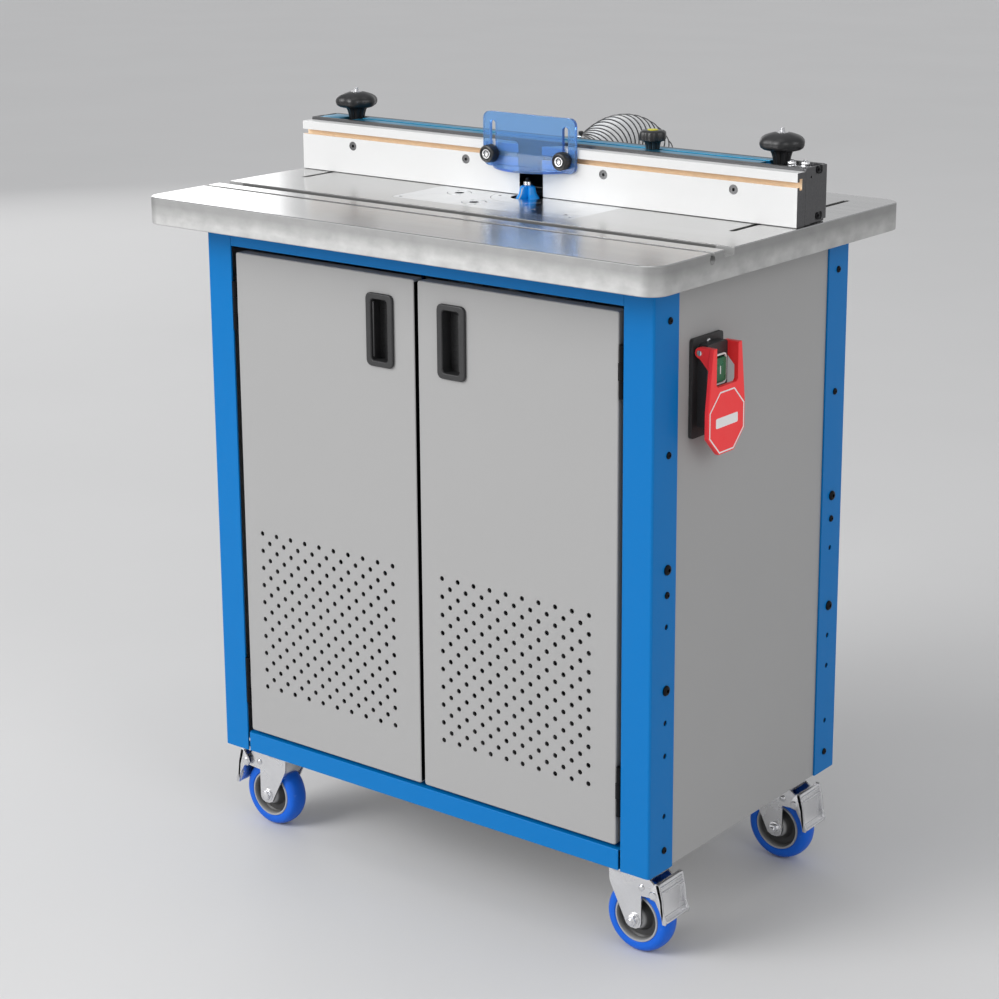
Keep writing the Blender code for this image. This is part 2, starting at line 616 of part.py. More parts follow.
def fence():
    low = TABLE_TOP + 0.0005
    body_front = FACE_BACK + GAP
    deck = 0.978
    cap = 0.0035
    outline = [(body_front, low), (FENCE_BACK, low), (FENCE_BACK, FENCE_TOP), (0.0860, FENCE_TOP),
               (0.0860, deck), (0.0473, deck), (0.0473, FENCE_TOP), (body_front, FENCE_TOP)]
    half = FENCE_HALF - cap
    body = prism("fence_body", outline, "X", -half, half)
    hollow = [(body_front + 0.003, low + 0.003), (0.089, low + 0.003), (0.089, deck - 0.003),
              (body_front + 0.003, deck - 0.003)]
    cut(body, prism("tool", hollow, "X", -half - 0.01, half + 0.01))
    cut(body, block("tool", (-0.045, body_front - 0.01, low - 0.01), (0.045, 0.086, 0.965)))
    cut(body, prism("tool", circle(0.0275, 32, 0.5, (0, PORT_Z)), "Y", 0.080, 0.100))
    for side in (-1, 1):
        stud_hole = circle(0.0046, 16, 0.5, (side * CLAMP_X, CLAMP_Y))
        cut(body, prism("tool", stud_hole, "Z", low - 0.01, FENCE_TOP))
    dress(body, "dark_aluminium")

    base = deck + GAP
    slot_low = base + 0.002
    slot_high = FENCE_TOP - 0.0022
    mouth = 0.0041
    outline = [(0.0476, base), (0.0857, base), (0.0857, FENCE_TOP), (TRACK_Y + mouth, FENCE_TOP),
               (TRACK_Y + mouth, slot_high), (TRACK_Y + 0.0075, slot_high), (TRACK_Y + 0.0075, slot_low),
               (TRACK_Y - 0.0075, slot_low), (TRACK_Y - 0.0075, slot_high), (TRACK_Y - mouth, slot_high),
               (TRACK_Y - mouth, FENCE_TOP), (0.0476, FENCE_TOP)]
    track = prism("fence_track", outline, "X", -TRACK_HALF, TRACK_HALF)
    dress(track, "blue_anodised")

    groove_low = GROOVE_Z - GROOVE_HIGH / 2
    groove_high = GROOVE_Z + GROOVE_HIGH / 2
    neck = FACE_FRONT + 0.005
    deep = FACE_FRONT + 0.011
    wide = 0.007
    outline = [(FACE_FRONT, low), (FACE_BACK, low), (FACE_BACK, FACE_TOP), (FACE_FRONT, FACE_TOP),
               (FACE_FRONT, groove_high), (neck, groove_high), (neck, GROOVE_Z + wide),
               (deep, GROOVE_Z + wide), (deep, GROOVE_Z - wide), (neck, GROOVE_Z - wide),
               (neck, groove_low), (FACE_FRONT, groove_low)]
    for side, side_name in ((-1, "left"), (1, "right")):
        face = prism("fence_face_" + side_name, outline, "X", side * BIT_GAP, side * FENCE_HALF)
        inner = side * BIT_GAP
        slope = side * (FACE_BACK - FACE_FRONT)
        bevel = [(inner - slope, FACE_FRONT), (inner, FACE_FRONT), (inner + slope, FACE_BACK),
                 (inner + slope, FACE_BACK + 0.01), (inner - slope, FACE_BACK + 0.01)]
        cut(face, prism("tool", bevel, "Z", low - 0.01, FACE_TOP + 0.01))
        dress(face, "white_laminate")
        plate = rounded(0.02515, 0.0354, 0.0015, 2, (0.06665, 0.95035))
        end = prism("fence_end_cap_" + side_name, plate, "X", side * (half + GAP), side * FENCE_HALF)
        dress(end, "dark_aluminium")
        levels = [(0.0090, 0.8890, 0), (0.0090, 0.8975, 0), (0.0037, 0.8975, 0), (0.0037, deck + GAP, 0),
                  (0.0090, deck + GAP, 0), (0.0100, FENCE_TOP, 0), (0.0110, 0.9960, 0), (0.0260, 1.0005, 1),
                  (0.0302, 1.0060, 1), (0.0302, 1.0130, 1), (0.0200, 1.0210, 1),
                  (0.0034, 1.0225, 0), (0.0034, 1.0280, 0)]
        knob("clamp_knob_" + side_name, side * CLAMP_X, CLAMP_Y, levels, 6, 0.05)
    levels = [(0.0060, slot_low + 0.0004, 0), (0.0060, slot_high - 0.0004, 0),
              (0.0032, slot_high - 0.0004, 0),
              (0.0032, FENCE_TOP + GAP, 0), (0.0085, FENCE_TOP + GAP, 0), (0.0105, 0.9945, 0),
              (0.0190, 0.9980, 1), (0.0195, 1.0080, 1), (0.0180, 1.0105, 1), (0.0070, 1.0125, 0)]
    knob("track_knob", TRACK_KNOB_X, TRACK_Y, levels, 6, 0.07)

    port_back = 0.1305
    flange = prism("dust_port", rounded(0.0400, 0.0345, 0.006, 3, (0, PORT_Z)), "Y", FENCE_BACK + GAP, 0.0955)
    join(flange, prism("tool", circle(0.0315, 32, 0.5, (0, PORT_Z)), "Y", 0.0940, port_back))
    cut(flange, prism("tool", circle(0.0275, 32, 0.5, (0, PORT_Z)), "Y", 0.080, 0.150))
    dress(flange, "black_plastic")


def guard():
    """Clear bit guard: a slotted plate on the fence with a half-moon visor."""
    front = 0.0162
    back = 0.0217
    low = 0.9500
    high = 1.0225
    middle = (low + high) / 2
    shield = prism("guard_shield", rounded(0.0760, (high - low) / 2, 0.010, 4, (0, middle)), "Y", front, back)
    half_chord = 0.060
    reach = 0.032
    visor_thick = 0.0030
    radius = (half_chord ** 2 + reach ** 2) / (2 * reach)
    centre_y = front - reach + radius
    spread = 2 * asin(half_chord / radius)
    outline = [(half_chord, front + 0.002)]
    for i in range(17):
        turn = -pi / 2 + (0.5 - i / 16) * spread
        outline.append((radius * cos(turn), centre_y + radius * sin(turn)))
    outline.append((-half_chord, front + 0.002))
    join(shield, prism("tool", outline, "Z", low, low + visor_thick))
    slot_low = GROOVE_Z - 0.0040
    slot_high = 1.0110
    for side in (-1, 1):
        slot = rounded(0.0045, (slot_high - slot_low) / 2, 0.00445, 4,
                       (side * GUARD_KNOB_X, (slot_low + slot_high) / 2))
        cut(shield, prism("tool", slot, "Y", front - 0.01, back + 0.01))
    dress(shield, "clear_blue")
    for side, side_name in ((-1, "left"), (1, "right")):
        centre = (side * GUARD_KNOB_X, GROOVE_Z)
        profile = [(0.0090, 0.0015), (0.0112, 0.0022), (0.0117, 0.0040), (0.0117, 0.0135),
                   (0.0105, front - GAP), (0.0029, front - GAP), (0.0029, FACE_FRONT + 0.0056),
                   (0.0058, FACE_FRONT + 0.0056),
                   (0.0058, FACE_FRONT + 0.0090)]
        made = turned("guard_knob_" + side_name, profile, "Y", centre, 20)
        dress(made, "black_plastic")
        pivot(made, (centre[0], 0.010, centre[1]))


def smooth_route(points, step):
    """Points about one step apart on a smooth curve through the route."""
    route = [Vector(point) for point in points]
    ends = [route[0] * 2 - route[1]] + route + [route[-1] * 2 - route[-2]]
    found = [route[0]]
    for a, b, c, d in zip(ends, ends[1:], ends[2:], ends[3:]):
        pieces = max(1, round((c - b).length / step))
        for i in range(1, pieces + 1):
            t = i / pieces
            found.append(0.5 * ((2 * b) + (c - a) * t + (2 * a - 5 * b + 4 * c - d) * t ** 2
                                + (3 * b - a - 3 * c + d) * t ** 3))
    return found


def hose():
    points = smooth_route(HOSE_ROUTE, 0.030)
    curve = bpy.data.curves.new("hose", "CURVE")
    curve.dimensions = "3D"
    curve.bevel_depth = HOSE_RADIUS
    curve.bevel_resolution = 3
    curve.use_fill_caps = True
    curve.materials.append(material("hose"))
    spline = curve.splines.new("POLY")
    spline.points.add(len(points) - 1)
    for spot, point in zip(spline.points, points):
        spot.co = (*point, 1.0)
    tube = bpy.data.objects.new("dust_hose", curve)
    bpy.context.scene.collection.objects.link(tube)


def main():
    clear_scene()
    table()
    router()
    cabinet()
    doors()
    switch()
    casters()
    fence()
    guard()
    hose()


main()
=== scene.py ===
"""Looks of the router table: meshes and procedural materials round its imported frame. Metres, +Z up."""

import json
from math import cos, pi, radians, sin

import bmesh
import bpy
from mathutils import Euler, Matrix, Vector

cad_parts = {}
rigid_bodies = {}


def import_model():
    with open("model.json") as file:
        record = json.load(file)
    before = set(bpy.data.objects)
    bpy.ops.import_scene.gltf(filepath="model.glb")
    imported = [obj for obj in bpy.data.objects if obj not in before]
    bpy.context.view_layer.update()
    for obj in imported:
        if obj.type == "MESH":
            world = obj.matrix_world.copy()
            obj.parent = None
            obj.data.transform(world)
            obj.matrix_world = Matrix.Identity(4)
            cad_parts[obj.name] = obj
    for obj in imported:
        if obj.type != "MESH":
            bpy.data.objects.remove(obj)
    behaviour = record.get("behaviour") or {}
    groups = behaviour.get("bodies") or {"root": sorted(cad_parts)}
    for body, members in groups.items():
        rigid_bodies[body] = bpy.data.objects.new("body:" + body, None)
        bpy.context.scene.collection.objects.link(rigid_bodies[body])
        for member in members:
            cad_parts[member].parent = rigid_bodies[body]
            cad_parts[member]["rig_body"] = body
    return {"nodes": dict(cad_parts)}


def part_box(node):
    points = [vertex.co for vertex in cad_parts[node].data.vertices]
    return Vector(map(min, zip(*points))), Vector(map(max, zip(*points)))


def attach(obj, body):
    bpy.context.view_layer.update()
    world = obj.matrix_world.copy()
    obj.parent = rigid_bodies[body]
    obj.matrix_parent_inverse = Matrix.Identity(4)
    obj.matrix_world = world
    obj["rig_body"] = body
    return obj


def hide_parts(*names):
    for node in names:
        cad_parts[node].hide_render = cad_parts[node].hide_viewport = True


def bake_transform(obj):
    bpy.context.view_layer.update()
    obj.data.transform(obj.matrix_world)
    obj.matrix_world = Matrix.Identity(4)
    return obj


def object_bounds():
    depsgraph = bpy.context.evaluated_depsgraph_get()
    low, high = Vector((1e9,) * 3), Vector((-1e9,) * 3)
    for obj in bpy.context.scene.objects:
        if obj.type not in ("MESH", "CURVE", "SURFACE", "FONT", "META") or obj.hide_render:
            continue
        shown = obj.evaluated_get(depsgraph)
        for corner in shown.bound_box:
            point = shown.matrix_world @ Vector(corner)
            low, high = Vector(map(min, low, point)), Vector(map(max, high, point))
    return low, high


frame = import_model()
cad_low, cad_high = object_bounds()

SIDES = ((-1, "left"), (1, "right"))
ENDS = (("front", -1), ("rear", 1))
EASE = 0.0004
SHARP_EDGE = radians(28)

# Places read from the frame
table_low, table_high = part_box("table_top")
TABLE_TOP = table_high.z
ring_low, ring_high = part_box("insert_ring")
BIT_Y = (ring_low.y + ring_high.y) / 2
plate_low, plate_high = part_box("insert_plate")
post_low, post_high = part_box("post_front_right")
POST_X = post_high.x
rear_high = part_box("post_rear_right")[1]
face_low, face_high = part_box("fence_face_right")
track_low, track_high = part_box("fence_track")
cap_low, cap_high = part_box("fence_end_cap_right")
port_low, port_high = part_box("dust_port")
paddle_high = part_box("stop_paddle")[1]
box_low, box_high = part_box("switch_box")
start_low, start_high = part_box("start_button")

# Table details
LIFT_HOLE = (-0.094, -0.0129)
LOCK_HOLE = (-0.0315, -0.0595)

# Holes and bolts in the side faces of the posts, each open hole backed by a disc of painted shade: height and
# kind
POST_MARKS = ((0.83, "small"), (0.666, "small"), (0.5227, "big"), (0.4905, "small"), (0.4497, "hole"),
    (0.3676, "big"), (0.325, "hole"), (0.2815, "hole"), (0.2015, "hole"), (0.1557, "small"))
MARK_INSET_FRONT = 0.0324
MARK_INSET_REAR = 0.028
HOLE_RADIUS = 0.0036
SMALL_SCREW = (0.0045, 0.0024, 0.0017)

# Door perforations: one grid, wider across than up, and a second one between its holes
PERFORATION_PITCH = (0.02593, 0.0247)
PERFORATION_X = {"left": -0.28, "right": 0.037}
PERFORATION_Z = 0.2314
PERFORATION_COUNT = 10
PERFORATION_RADIUS = 0.0034

# Switch
PADDLE_PIN = (0.3745, 0.7835)
PADDLE_MARK_Z = 0.6975

# Fence
GROOVE_Z = 0.9673
GROOVE_HALF = 0.00335
FACE_SCREWS = {"left": (-0.314, -0.1109), "right": (0.117, 0.316)}
FACE_SCREW_Z = 0.9535
CLAMP_X = 0.3526
CLAMP_Y = 0.075
TRACK_KNOB_X = 0.1635
TRACK_Y = 0.0665
DECK = 0.978
GUARD_KNOB_X = 0.06
SHIELD_FRONT = 0.0162
PORT_Z = 0.95
PORT_BORE = 0.0275

# Casters
CASTER_LEAD = 0.02
CASTER_X = 0.2987
CASTER_Y = {"front": -0.165, "rear": 0.174}
WHEEL_RADIUS = 0.0475
PEDAL_PIVOT = (0.034, 0.093)

# Dust hose
HOSE_RADIUS = 0.034
HOSE_PITCH = 0.0113
HOSE_WIRE = 0.001
HOSE_ROUTE = [(0.0, 0.131, 0.95), (0.0, 0.15, 0.95), (-0.005, 0.178, 0.9545), (-0.01, 0.207, 0.9615),
    (-0.013, 0.238, 0.9655), (-0.014, 0.27, 0.9625), (-0.014, 0.299, 0.951), (-0.013, 0.323, 0.929),
    (-0.011, 0.339, 0.896), (-0.007, 0.346, 0.857), (-0.002, 0.348, 0.812), (0.004, 0.35, 0.765),
    (0.01, 0.349, 0.72), (0.016, 0.344, 0.68), (0.02, 0.331, 0.644), (0.02, 0.31, 0.615), (0.02, 0.286, 0.6),
    (0.02, 0.2635, 0.6)]
OUTLET = (0.02, 0.6)


# ---- materials

class Look:
    """A Principled material under construction, with its texture nodes in object coordinates."""

    def __init__(self, name, colour, roughness, metallic, **plain):
        self.material = bpy.data.materials.new(name)
        self.material.use_nodes = True
        self.tree = self.material.node_tree
        self.inputs = self.tree.nodes["Principled BSDF"].inputs
        self.colour = (*colour, 1.0)
        plain.update(Base_Color=self.colour, Roughness=roughness, Metallic=metallic)
        for socket, value in plain.items():
            self.inputs[socket.replace("_", " ")].default_value = value
        self.place = self.node("TexCoord", "Object")
        self.height = None

    def link(self, value, socket):
        """Feed a socket from another one, or give it a plain value."""
        if isinstance(value, bpy.types.NodeSocket):
            self.tree.links.new(value, socket)
        else:
            socket.default_value = value

    def node(self, kind, output=0, sockets=(), **settings):
        """Add a node, set it up, feed its input sockets and give one of its outputs."""
        made = self.tree.nodes.new("ShaderNode" + kind)
        for name, value in settings.items():
            setattr(made, name, value)
        for socket, value in sockets:
            self.link(value, made.inputs[socket])
        return made.outputs[output]

    def noise(self, scale, detail=3.0, stretch=(1, 1, 1)):
        """Noise from 0 to 1; a small stretch along an axis draws the grain out along it."""
        place = self.node("Mapping", 0, [("Vector", self.place), ("Scale", stretch)])
        return self.node("TexNoise", 0, [("Vector", place), ("Scale", scale), ("Detail", detail)])

    def along(self, axis):
        """One coordinate of the place."""
        return self.node("SeparateXYZ", axis, [(0, self.place)])

    def spread(self, value, low, high, to_low=0.0, to_high=1.0):
        """Map low..high of a value to another range, held at its ends."""
        return self.node("MapRange", 0, enumerate((value, low, high, to_low, to_high)))

    def blend(self, share, first, second):
        """Mix two colours by a share."""
        return self.node("Mix", 2, [(0, share), (6, first), (7, second)], data_type="RGBA")

    def maths(self, operation, first, second=0.0):
        return self.node("Math", 0, enumerate((first, second)), operation=operation)

    def tint(self, share, colour, amount=1.0):
        """Blend the colour so far towards another one."""
        if amount < 1.0:
            share = self.maths("MULTIPLY", share, amount)
        self.colour = self.blend(share, self.colour, (*colour, 1.0))
        self.link(self.colour, self.inputs["Base Color"])

    def relief(self, value, distance, strength=1.0):
        """Add a bump of that height on top of the relief so far."""
        sockets = [("Distance", distance), ("Strength", strength), ("Height", value)]
        if self.height:
            sockets.append(("Normal", self.height))
        self.height = self.node("Bump", 0, sockets)
        self.link(self.height, self.inputs["Normal"])


def surface(name, colour, roughness, metallic, tints, gloss, reliefs, **plain):
    """A material from noises of (scale, detail, stretch): tints of (noise, low, high, colour, share), a gloss
    of (noise, lowest roughness, highest) and reliefs of (noise, height, strength)."""
    look = Look(name, colour, roughness, metallic, **plain)
    for noise, low, high, tone, share in tints:
        look.tint(look.spread(look.noise(*noise), low, high), tone, share)
    if gloss:
        look.link(look.spread(look.noise(*gloss[0]), 0.3, 0.7, *gloss[1:]), look.inputs["Roughness"])
    for noise, height, strength in reliefs:
        look.relief(look.noise(*noise), height, strength)
    return look


def ground_iron():
    """Cast iron: a surface-ground top with fine lines, a satin milled rim, and rough slots and pockets
    painted near black as shade.
    """
    look = Look("ground_iron", (0.5, 0.5, 0.497), 0.28, 1.0)
    cloud = look.noise(5.0, 4.0, (0.6, 1.4, 1))
    look.tint(look.spread(cloud, 0.35, 0.7), (0.57, 0.57, 0.566))
    lines = look.noise(260.0, 2.0, (0.015, 1, 1))
    look.tint(look.spread(lines, 0.35, 0.65), (0.38, 0.38, 0.38), 0.3)
    pores = look.node("TexVoronoi", "Distance", [("Vector", look.place), ("Scale", 420.0)])
    look.tint(look.spread(pores, 0.16, 0.05), (0.34, 0.34, 0.34), 0.25)
    height = look.along("Z")
    below = look.spread(height, TABLE_TOP - 0.0004, TABLE_TOP - 0.0014)
    rims = []
    for axis, reach in (("X", table_high.x), ("Y", table_high.y)):
        rims.append(look.spread(look.maths("ABSOLUTE", look.along(axis)), reach - 0.027, reach - 0.025))
    mottle = look.noise(60.0, 5.0, (0.7, 0.7, 1))
    milled = look.blend(look.spread(mottle, 0.25, 0.75), (0.5, 0.5, 0.495, 1), (0.64, 0.64, 0.63, 1))
    upper = look.spread(height, table_low.z + 0.01, table_low.z + 0.027, 0.0, 0.85)
    milled = look.blend(upper, milled, (0.345, 0.345, 0.342, 1))
    # Painted shade: away from the rim, all iron below the top face is painted near black, in the slots,
    # pockets and underside.
    side = look.blend(look.maths("MAXIMUM", *rims), (0.17, 0.17, 0.168, 1), milled)
    look.link(look.blend(below, look.colour, side), look.inputs["Base Color"])
    smooth = look.spread(cloud, 0.3, 0.7, 0.17, 0.25)
    rough = look.spread(mottle, 0.3, 0.7, 0.66, 0.56)
    look.link(look.node("Mix", 0, [(0, below), (2, smooth), (3, rough)]), look.inputs["Roughness"])
    look.relief(look.maths("MULTIPLY", mottle, below), 0.0007, 0.25)
    look.relief(lines, 0.00005, 0.4)
    return look


def brushed_plate():
    """Ground aluminium insert with bright fine lines; its recesses, holes and sides below the top are painted
    dark as shade.
    """
    lines = (420.0, 2.0, (0.02, 1, 1))
    tints = [(lines, 0.3, 0.7, (0.62, 0.63, 0.65), 0.6), ((14.0, 4.0), 0.45, 0.75, (0.82, 0.83, 0.84), 0.5)]
    look = surface("brushed_plate", (0.74, 0.75, 0.76), 0.2, 1.0, tints, ((30.0, 4.0), 0.15, 0.27),
        [(lines, 0.00004, 0.4)])
    # Painted shade: every face just below the top face turns almost black.
    look.tint(look.spread(look.along("Z"), TABLE_TOP - 0.0001, TABLE_TOP - 0.0003), (0.1, 0.1, 0.11), 0.85)
    return look


def satin_aluminium():
    """Machined aluminium of the lift."""
    lines = (300.0, 2.0, (1, 1, 0.03))
    return surface("satin_aluminium", (0.66, 0.67, 0.69), 0.32, 1.0,
        [(lines, 0.3, 0.7, (0.52, 0.53, 0.55), 0.6)], ((40.0,), 0.26, 0.4), [(lines, 0.00005, 0.5)])


def paint(name, colour, shade, roughness, coat, peel):
    """Powder coat: an even colour with faint clouds, a fine grain and the orange peel of baked paint."""
    fine = (1500.0, 2.0)
    return surface(name, colour, roughness, 0.0, [((3.0, 4.0), 0.4, 0.75, shade, 0.3),
        (fine, 0.35, 0.7, shade, 0.25)], ((6.0, 2.0), roughness - 0.03, roughness + 0.03),
        [((420.0, 2.0), peel, 0.22), (fine, peel * 0.25, 0.3)], Coat_Weight=coat, Coat_Roughness=0.16,
        Specular_IOR_Level=0.16)


def moulded(name, colour, roughness, speck, texture=0.00006, scale=900.0):
    """Moulded plastic with a fine spark-eroded texture, worn slightly lighter in patches."""
    fine = (scale, 3.0)
    return surface(name, colour, roughness, 0.0, [(fine, 0.45, 0.75, speck, 0.6),
        ((22.0, 4.0), 0.55, 0.8, speck, 0.5)], ((60.0, 4.0), roughness - 0.06, roughness + 0.08),
        [(fine, texture, 0.7)])


def plated(name, colour, dark, roughness, grain=(1, 1, 1)):
    """Zinc plate or turned steel: bright, with faint cloudy patches and a fine grain."""
    fine = (900.0, 2.0, grain)
    return surface(name, colour, roughness, 1.0, [((30.0, 4.0), 0.42, 0.72, dark, 0.3),
        (fine, 0.35, 0.7, dark, 0.22)], ((45.0, 3.0), roughness - 0.04, roughness + 0.06),
        [(fine, 0.00003, 0.4)])


def anodised(name, colour, light, roughness, metallic):
    """Anodised extrusion with die lines along X and a frosted grain."""
    lines = (500.0, 2.0, (0.008, 1, 1))
    return surface(name, colour, roughness, metallic, [(lines, 0.35, 0.7, light, 0.5),
        ((1600.0, 1.0), 0.4, 0.7, light, 0.25)], ((25.0, 3.0), roughness - 0.06, roughness + 0.08),
        [(lines, 0.00005, 0.5)])


def melamine():
    """White melamine laminate with its fine pebble texture."""
    pebble = (1100.0, 2.0)
    tints = [((7.0, 4.0), 0.4, 0.75, (0.725, 0.725, 0.72), 0.5),
        (pebble, 0.5, 0.75, (0.68, 0.68, 0.675), 0.4)]
    return surface("white_melamine", (0.74, 0.74, 0.735), 0.32, 0.0, tints, ((35.0,), 0.3, 0.34),
        [(pebble, 0.00007, 0.6)], Coat_Weight=0.08, Coat_Roughness=0.2)


def fibreboard():
    """Bare fibreboard where the groove is cut: tan, with short darker and lighter fibres."""
    fibre = (420.0, 4.0, (0.25, 1, 1))
    tints = [(fibre, 0.35, 0.65, (0.86, 0.63, 0.4), 0.45), ((900.0, 2.0, (0.3, 1, 1)), 0.6, 0.75,
        (0.97, 0.84, 0.66), 0.6)]
    return surface("fibreboard", (0.95, 0.76, 0.54), 0.8, 0.0, tints, None, [(fibre, 0.0002, 0.5)])


def acrylic():
    """Clear blue cast acrylic: pale through its faces and deep blue along its edges."""
    look = surface("blue_acrylic", (0.36, 0.66, 1.0), 0.02, 0.0, [], None, [((9.0, 2.0), 0.0002, 0.25)],
        Transmission_Weight=0.84, IOR=1.45)
    scratches = look.noise(160.0, 3.0, (0.1, 1, 1))
    look.link(look.spread(scratches, 0.5, 0.8, 0.01, 0.07), look.inputs["Roughness"])
    absorb = look.node("VolumeAbsorption", 0, [("Color", (0.03, 0.4, 1.0, 1.0)), ("Density", 48.0)])
    look.link(absorb, look.tree.nodes["Material Output"].inputs["Volume"])
    return look


def hose_film():
    """Milky grey flexible plastic, slightly cloudy and dusty inside."""
    dust = (38.0, 5.0)
    look = surface("hose_film", (0.8, 0.81, 0.82), 0.2, 0.0, [(dust, 0.45, 0.75, (0.62, 0.61, 0.58), 0.5)],
        ((120.0, 3.0), 0.14, 0.28), [((240.0, 2.0), 0.0002, 0.3)], Coat_Weight=0.6, Coat_Roughness=0.08)
    look.link(look.spread(look.noise(*dust), 0.35, 0.7, 0.8, 0.94), look.inputs["Alpha"])
    return look


def tyre_rubber():
    """Blue polyurethane tread, satin, with light scuffs round its crown."""
    tints = [((40.0, 5.0), 0.55, 0.8, (0.003, 0.09, 0.5), 0.5),
        ((170.0, 4.0, (1, 0.25, 1)), 0.66, 0.84, (0.12, 0.25, 0.62), 0.35)]
    return surface("blue_tyre", (0.004, 0.115, 0.62), 0.4, 0.0, tints, ((90.0, 4.0), 0.34, 0.48),
        [((600.0, 3.0), 0.00006, 0.4)], Specular_IOR_Level=0.25)


def wheel_hub():
    """Grey nylon hub; the bottom of its dish between boss and rim is painted nearly black, partly as painted
    shade in the deep recess and partly as a darker plastic.
    """
    fine = (900.0, 3.0)
    look = surface("grey_hub", (0.37, 0.37, 0.37), 0.42, 0.0, [(fine, 0.45, 0.75, (0.31, 0.31, 0.31), 0.5)],
        ((60.0, 4.0), 0.38, 0.5), [(fine, 0.00006, 0.6)])
    squares = [look.maths("POWER", look.along(axis), 2.0) for axis in "XZ"]
    radius = look.maths("SQRT", look.maths("ADD", *squares))
    # Painted shade over a darker plastic: the dish between boss and rim turns nearly black.
    dish = look.maths("MULTIPLY", look.spread(radius, 0.013, 0.0155), look.spread(radius, 0.0298, 0.0288))
    look.tint(dish, (0.024, 0.024, 0.024), 0.93)
    return look


def make_looks():
    """Every material of the object by a short name."""
    return {"iron": ground_iron(), "plate": brushed_plate(), "lift": satin_aluminium(),
        "blue": paint("blue_powder_coat", (0.0, 0.165, 0.48), (0.0, 0.152, 0.45), 0.36, 0.04, 0.00008),
        "grey": paint("grey_powder_coat", (0.375, 0.373, 0.371), (0.355, 0.353, 0.352), 0.46, 0.04, 0.00007),
        "black": moulded("black_plastic", (0.022, 0.022, 0.023), 0.46, (0.045, 0.045, 0.046)),
        "knob": moulded("knob_plastic", (0.01, 0.01, 0.011), 0.36, (0.022, 0.022, 0.023), 0.0001, 700.0),
        "rubber": moulded("black_rubber", (0.018, 0.018, 0.018), 0.62, (0.034, 0.034, 0.034), 0.00012, 500.0),
        "screw_grey": plated("phosphated_screw", (0.15, 0.15, 0.153), (0.09, 0.09, 0.092), 0.42),
        "steel_black": plated("black_oxide_steel", (0.018, 0.018, 0.02), (0.011, 0.011, 0.012), 0.42),
        "red": moulded("red_plastic", (0.97, 0.032, 0.036), 0.36, (0.98, 0.048, 0.052), 0.00003),
        "green": moulded("green_plastic", (0.006, 0.12, 0.05), 0.28, (0.01, 0.16, 0.07), 0.00004),
        "white": moulded("white_print", (0.86, 0.84, 0.83), 0.4, (0.78, 0.76, 0.75), 0.00003),
        "yellow": moulded("yellow_cap", (0.56, 0.52, 0.015), 0.34, (0.64, 0.6, 0.05), 0.00004),
        "zinc": plated("zinc_plate", (0.76, 0.76, 0.77), (0.52, 0.52, 0.54), 0.24),
        "steel": plated("turned_steel", (0.72, 0.72, 0.73), (0.48, 0.48, 0.5), 0.18, (1, 1, 0.05)),
        "hub": wheel_hub(), "tyre": tyre_rubber(),
        "dark": anodised("dark_aluminium", (0.085, 0.085, 0.088), (0.14, 0.14, 0.145), 0.4, 0.75),
        "track": anodised("blue_anodised", (0.02, 0.27, 0.47), (0.06, 0.36, 0.56), 0.36, 0.8),
        "melamine": melamine(), "board": fibreboard(), "acrylic": acrylic(), "film": hose_film(),
        "wire": moulded("hose_wire", (0.03, 0.031, 0.033), 0.35, (0.06, 0.06, 0.06)),
        "motor": moulded("motor_case", (0.03, 0.031, 0.034), 0.42, (0.055, 0.056, 0.06), 0.00012, 600.0),
        "cutter": paint("blue_cutter_coat", (0.008, 0.27, 0.76), (0.012, 0.34, 0.84), 0.26, 0.5, 0.00006)}


LOOKS = {name: look.material for name, look in make_looks().items()}


# ---- mesh helpers

def at(axis, a, b, height):
    """A point from two coordinates across an axis and one along it."""
    return {"X": (height, a, b), "Y": (a, height, b), "Z": (a, b, height)}[axis]


def loft(rings, closed=False):
    """Join rings of points with quads; the ends are capped unless the rings close on themselves."""
    work = bmesh.new()
    rows = [[work.verts.new(point) for point in ring] for ring in rings]
    pairs = list(zip(rows, rows[1:]))
    if closed:
        pairs.append((rows[-1], rows[0]))
    else:
        work.faces.new(rows[0])
        work.faces.new(rows[-1])
    for low, high in pairs:
        for i in range(len(low)):
            j = (i + 1) % len(low)
            work.faces.new((low[i], low[j], high[j], high[i]))
    bmesh.ops.recalc_face_normals(work, faces=work.faces)
    return work


def mm(points, base=0.0):
    """Rows of radius and height in millimetres, as metres above base; a third value stays as it is."""
    return [(round(a * 0.001, 7), base + round(b * 0.001, 7), *rest) for a, b, *rest in points]


def circle(radius, count, centre=(0.0, 0.0), phase=0.0):
    turns = [2 * pi * (i + phase) / count for i in range(count)]
    return [(centre[0] + radius * cos(t), centre[1] + radius * sin(t)) for t in turns]


def prism(outline, axis, low, high, ease=0.0):
    """Extrude an outline along an axis between two ends in either order, with its edges eased."""
    work = loft([[at(axis, a, b, h) for a, b in outline] for h in sorted((low, high))])
    return eased(work, ease) if ease else work


def turned(profile, axis, centre, count=48, closed=False):
    """Turn a profile of (radius, height) about an axis through centre."""
    rings = [[at(axis, a, b, h) for a, b in circle(r, count, centre)] for r, h in profile]
    return loft(rings, closed)


def rod(radius, low, high, axis, centre, count):
    return turned([(radius, low), (radius, high)], axis, centre, count)


def block(corner, other, ease=EASE):
    """A box between two opposite corners."""
    (x0, x1), (y0, y1), (z0, z1) = map(sorted, zip(corner, other))
    return prism([(x0, y0), (x1, y0), (x1, y1), (x0, y1)], "Z", z0, z1, ease)


def rounded(half_a, half_b, radius, steps=6, centre=(0.0, 0.0)):
    """Outline of a rectangle with round corners."""
    points = []
    for quarter, (side_a, side_b) in enumerate(((1, 1), (-1, 1), (-1, -1), (1, -1))):
        for i in range(steps + 1):
            turn = pi / 2 * (quarter + i / steps)
            a = side_a * (half_a - radius) + radius * cos(turn)
            b = side_b * (half_b - radius) + radius * sin(turn)
            points.append((centre[0] + a, centre[1] + b))
    return points


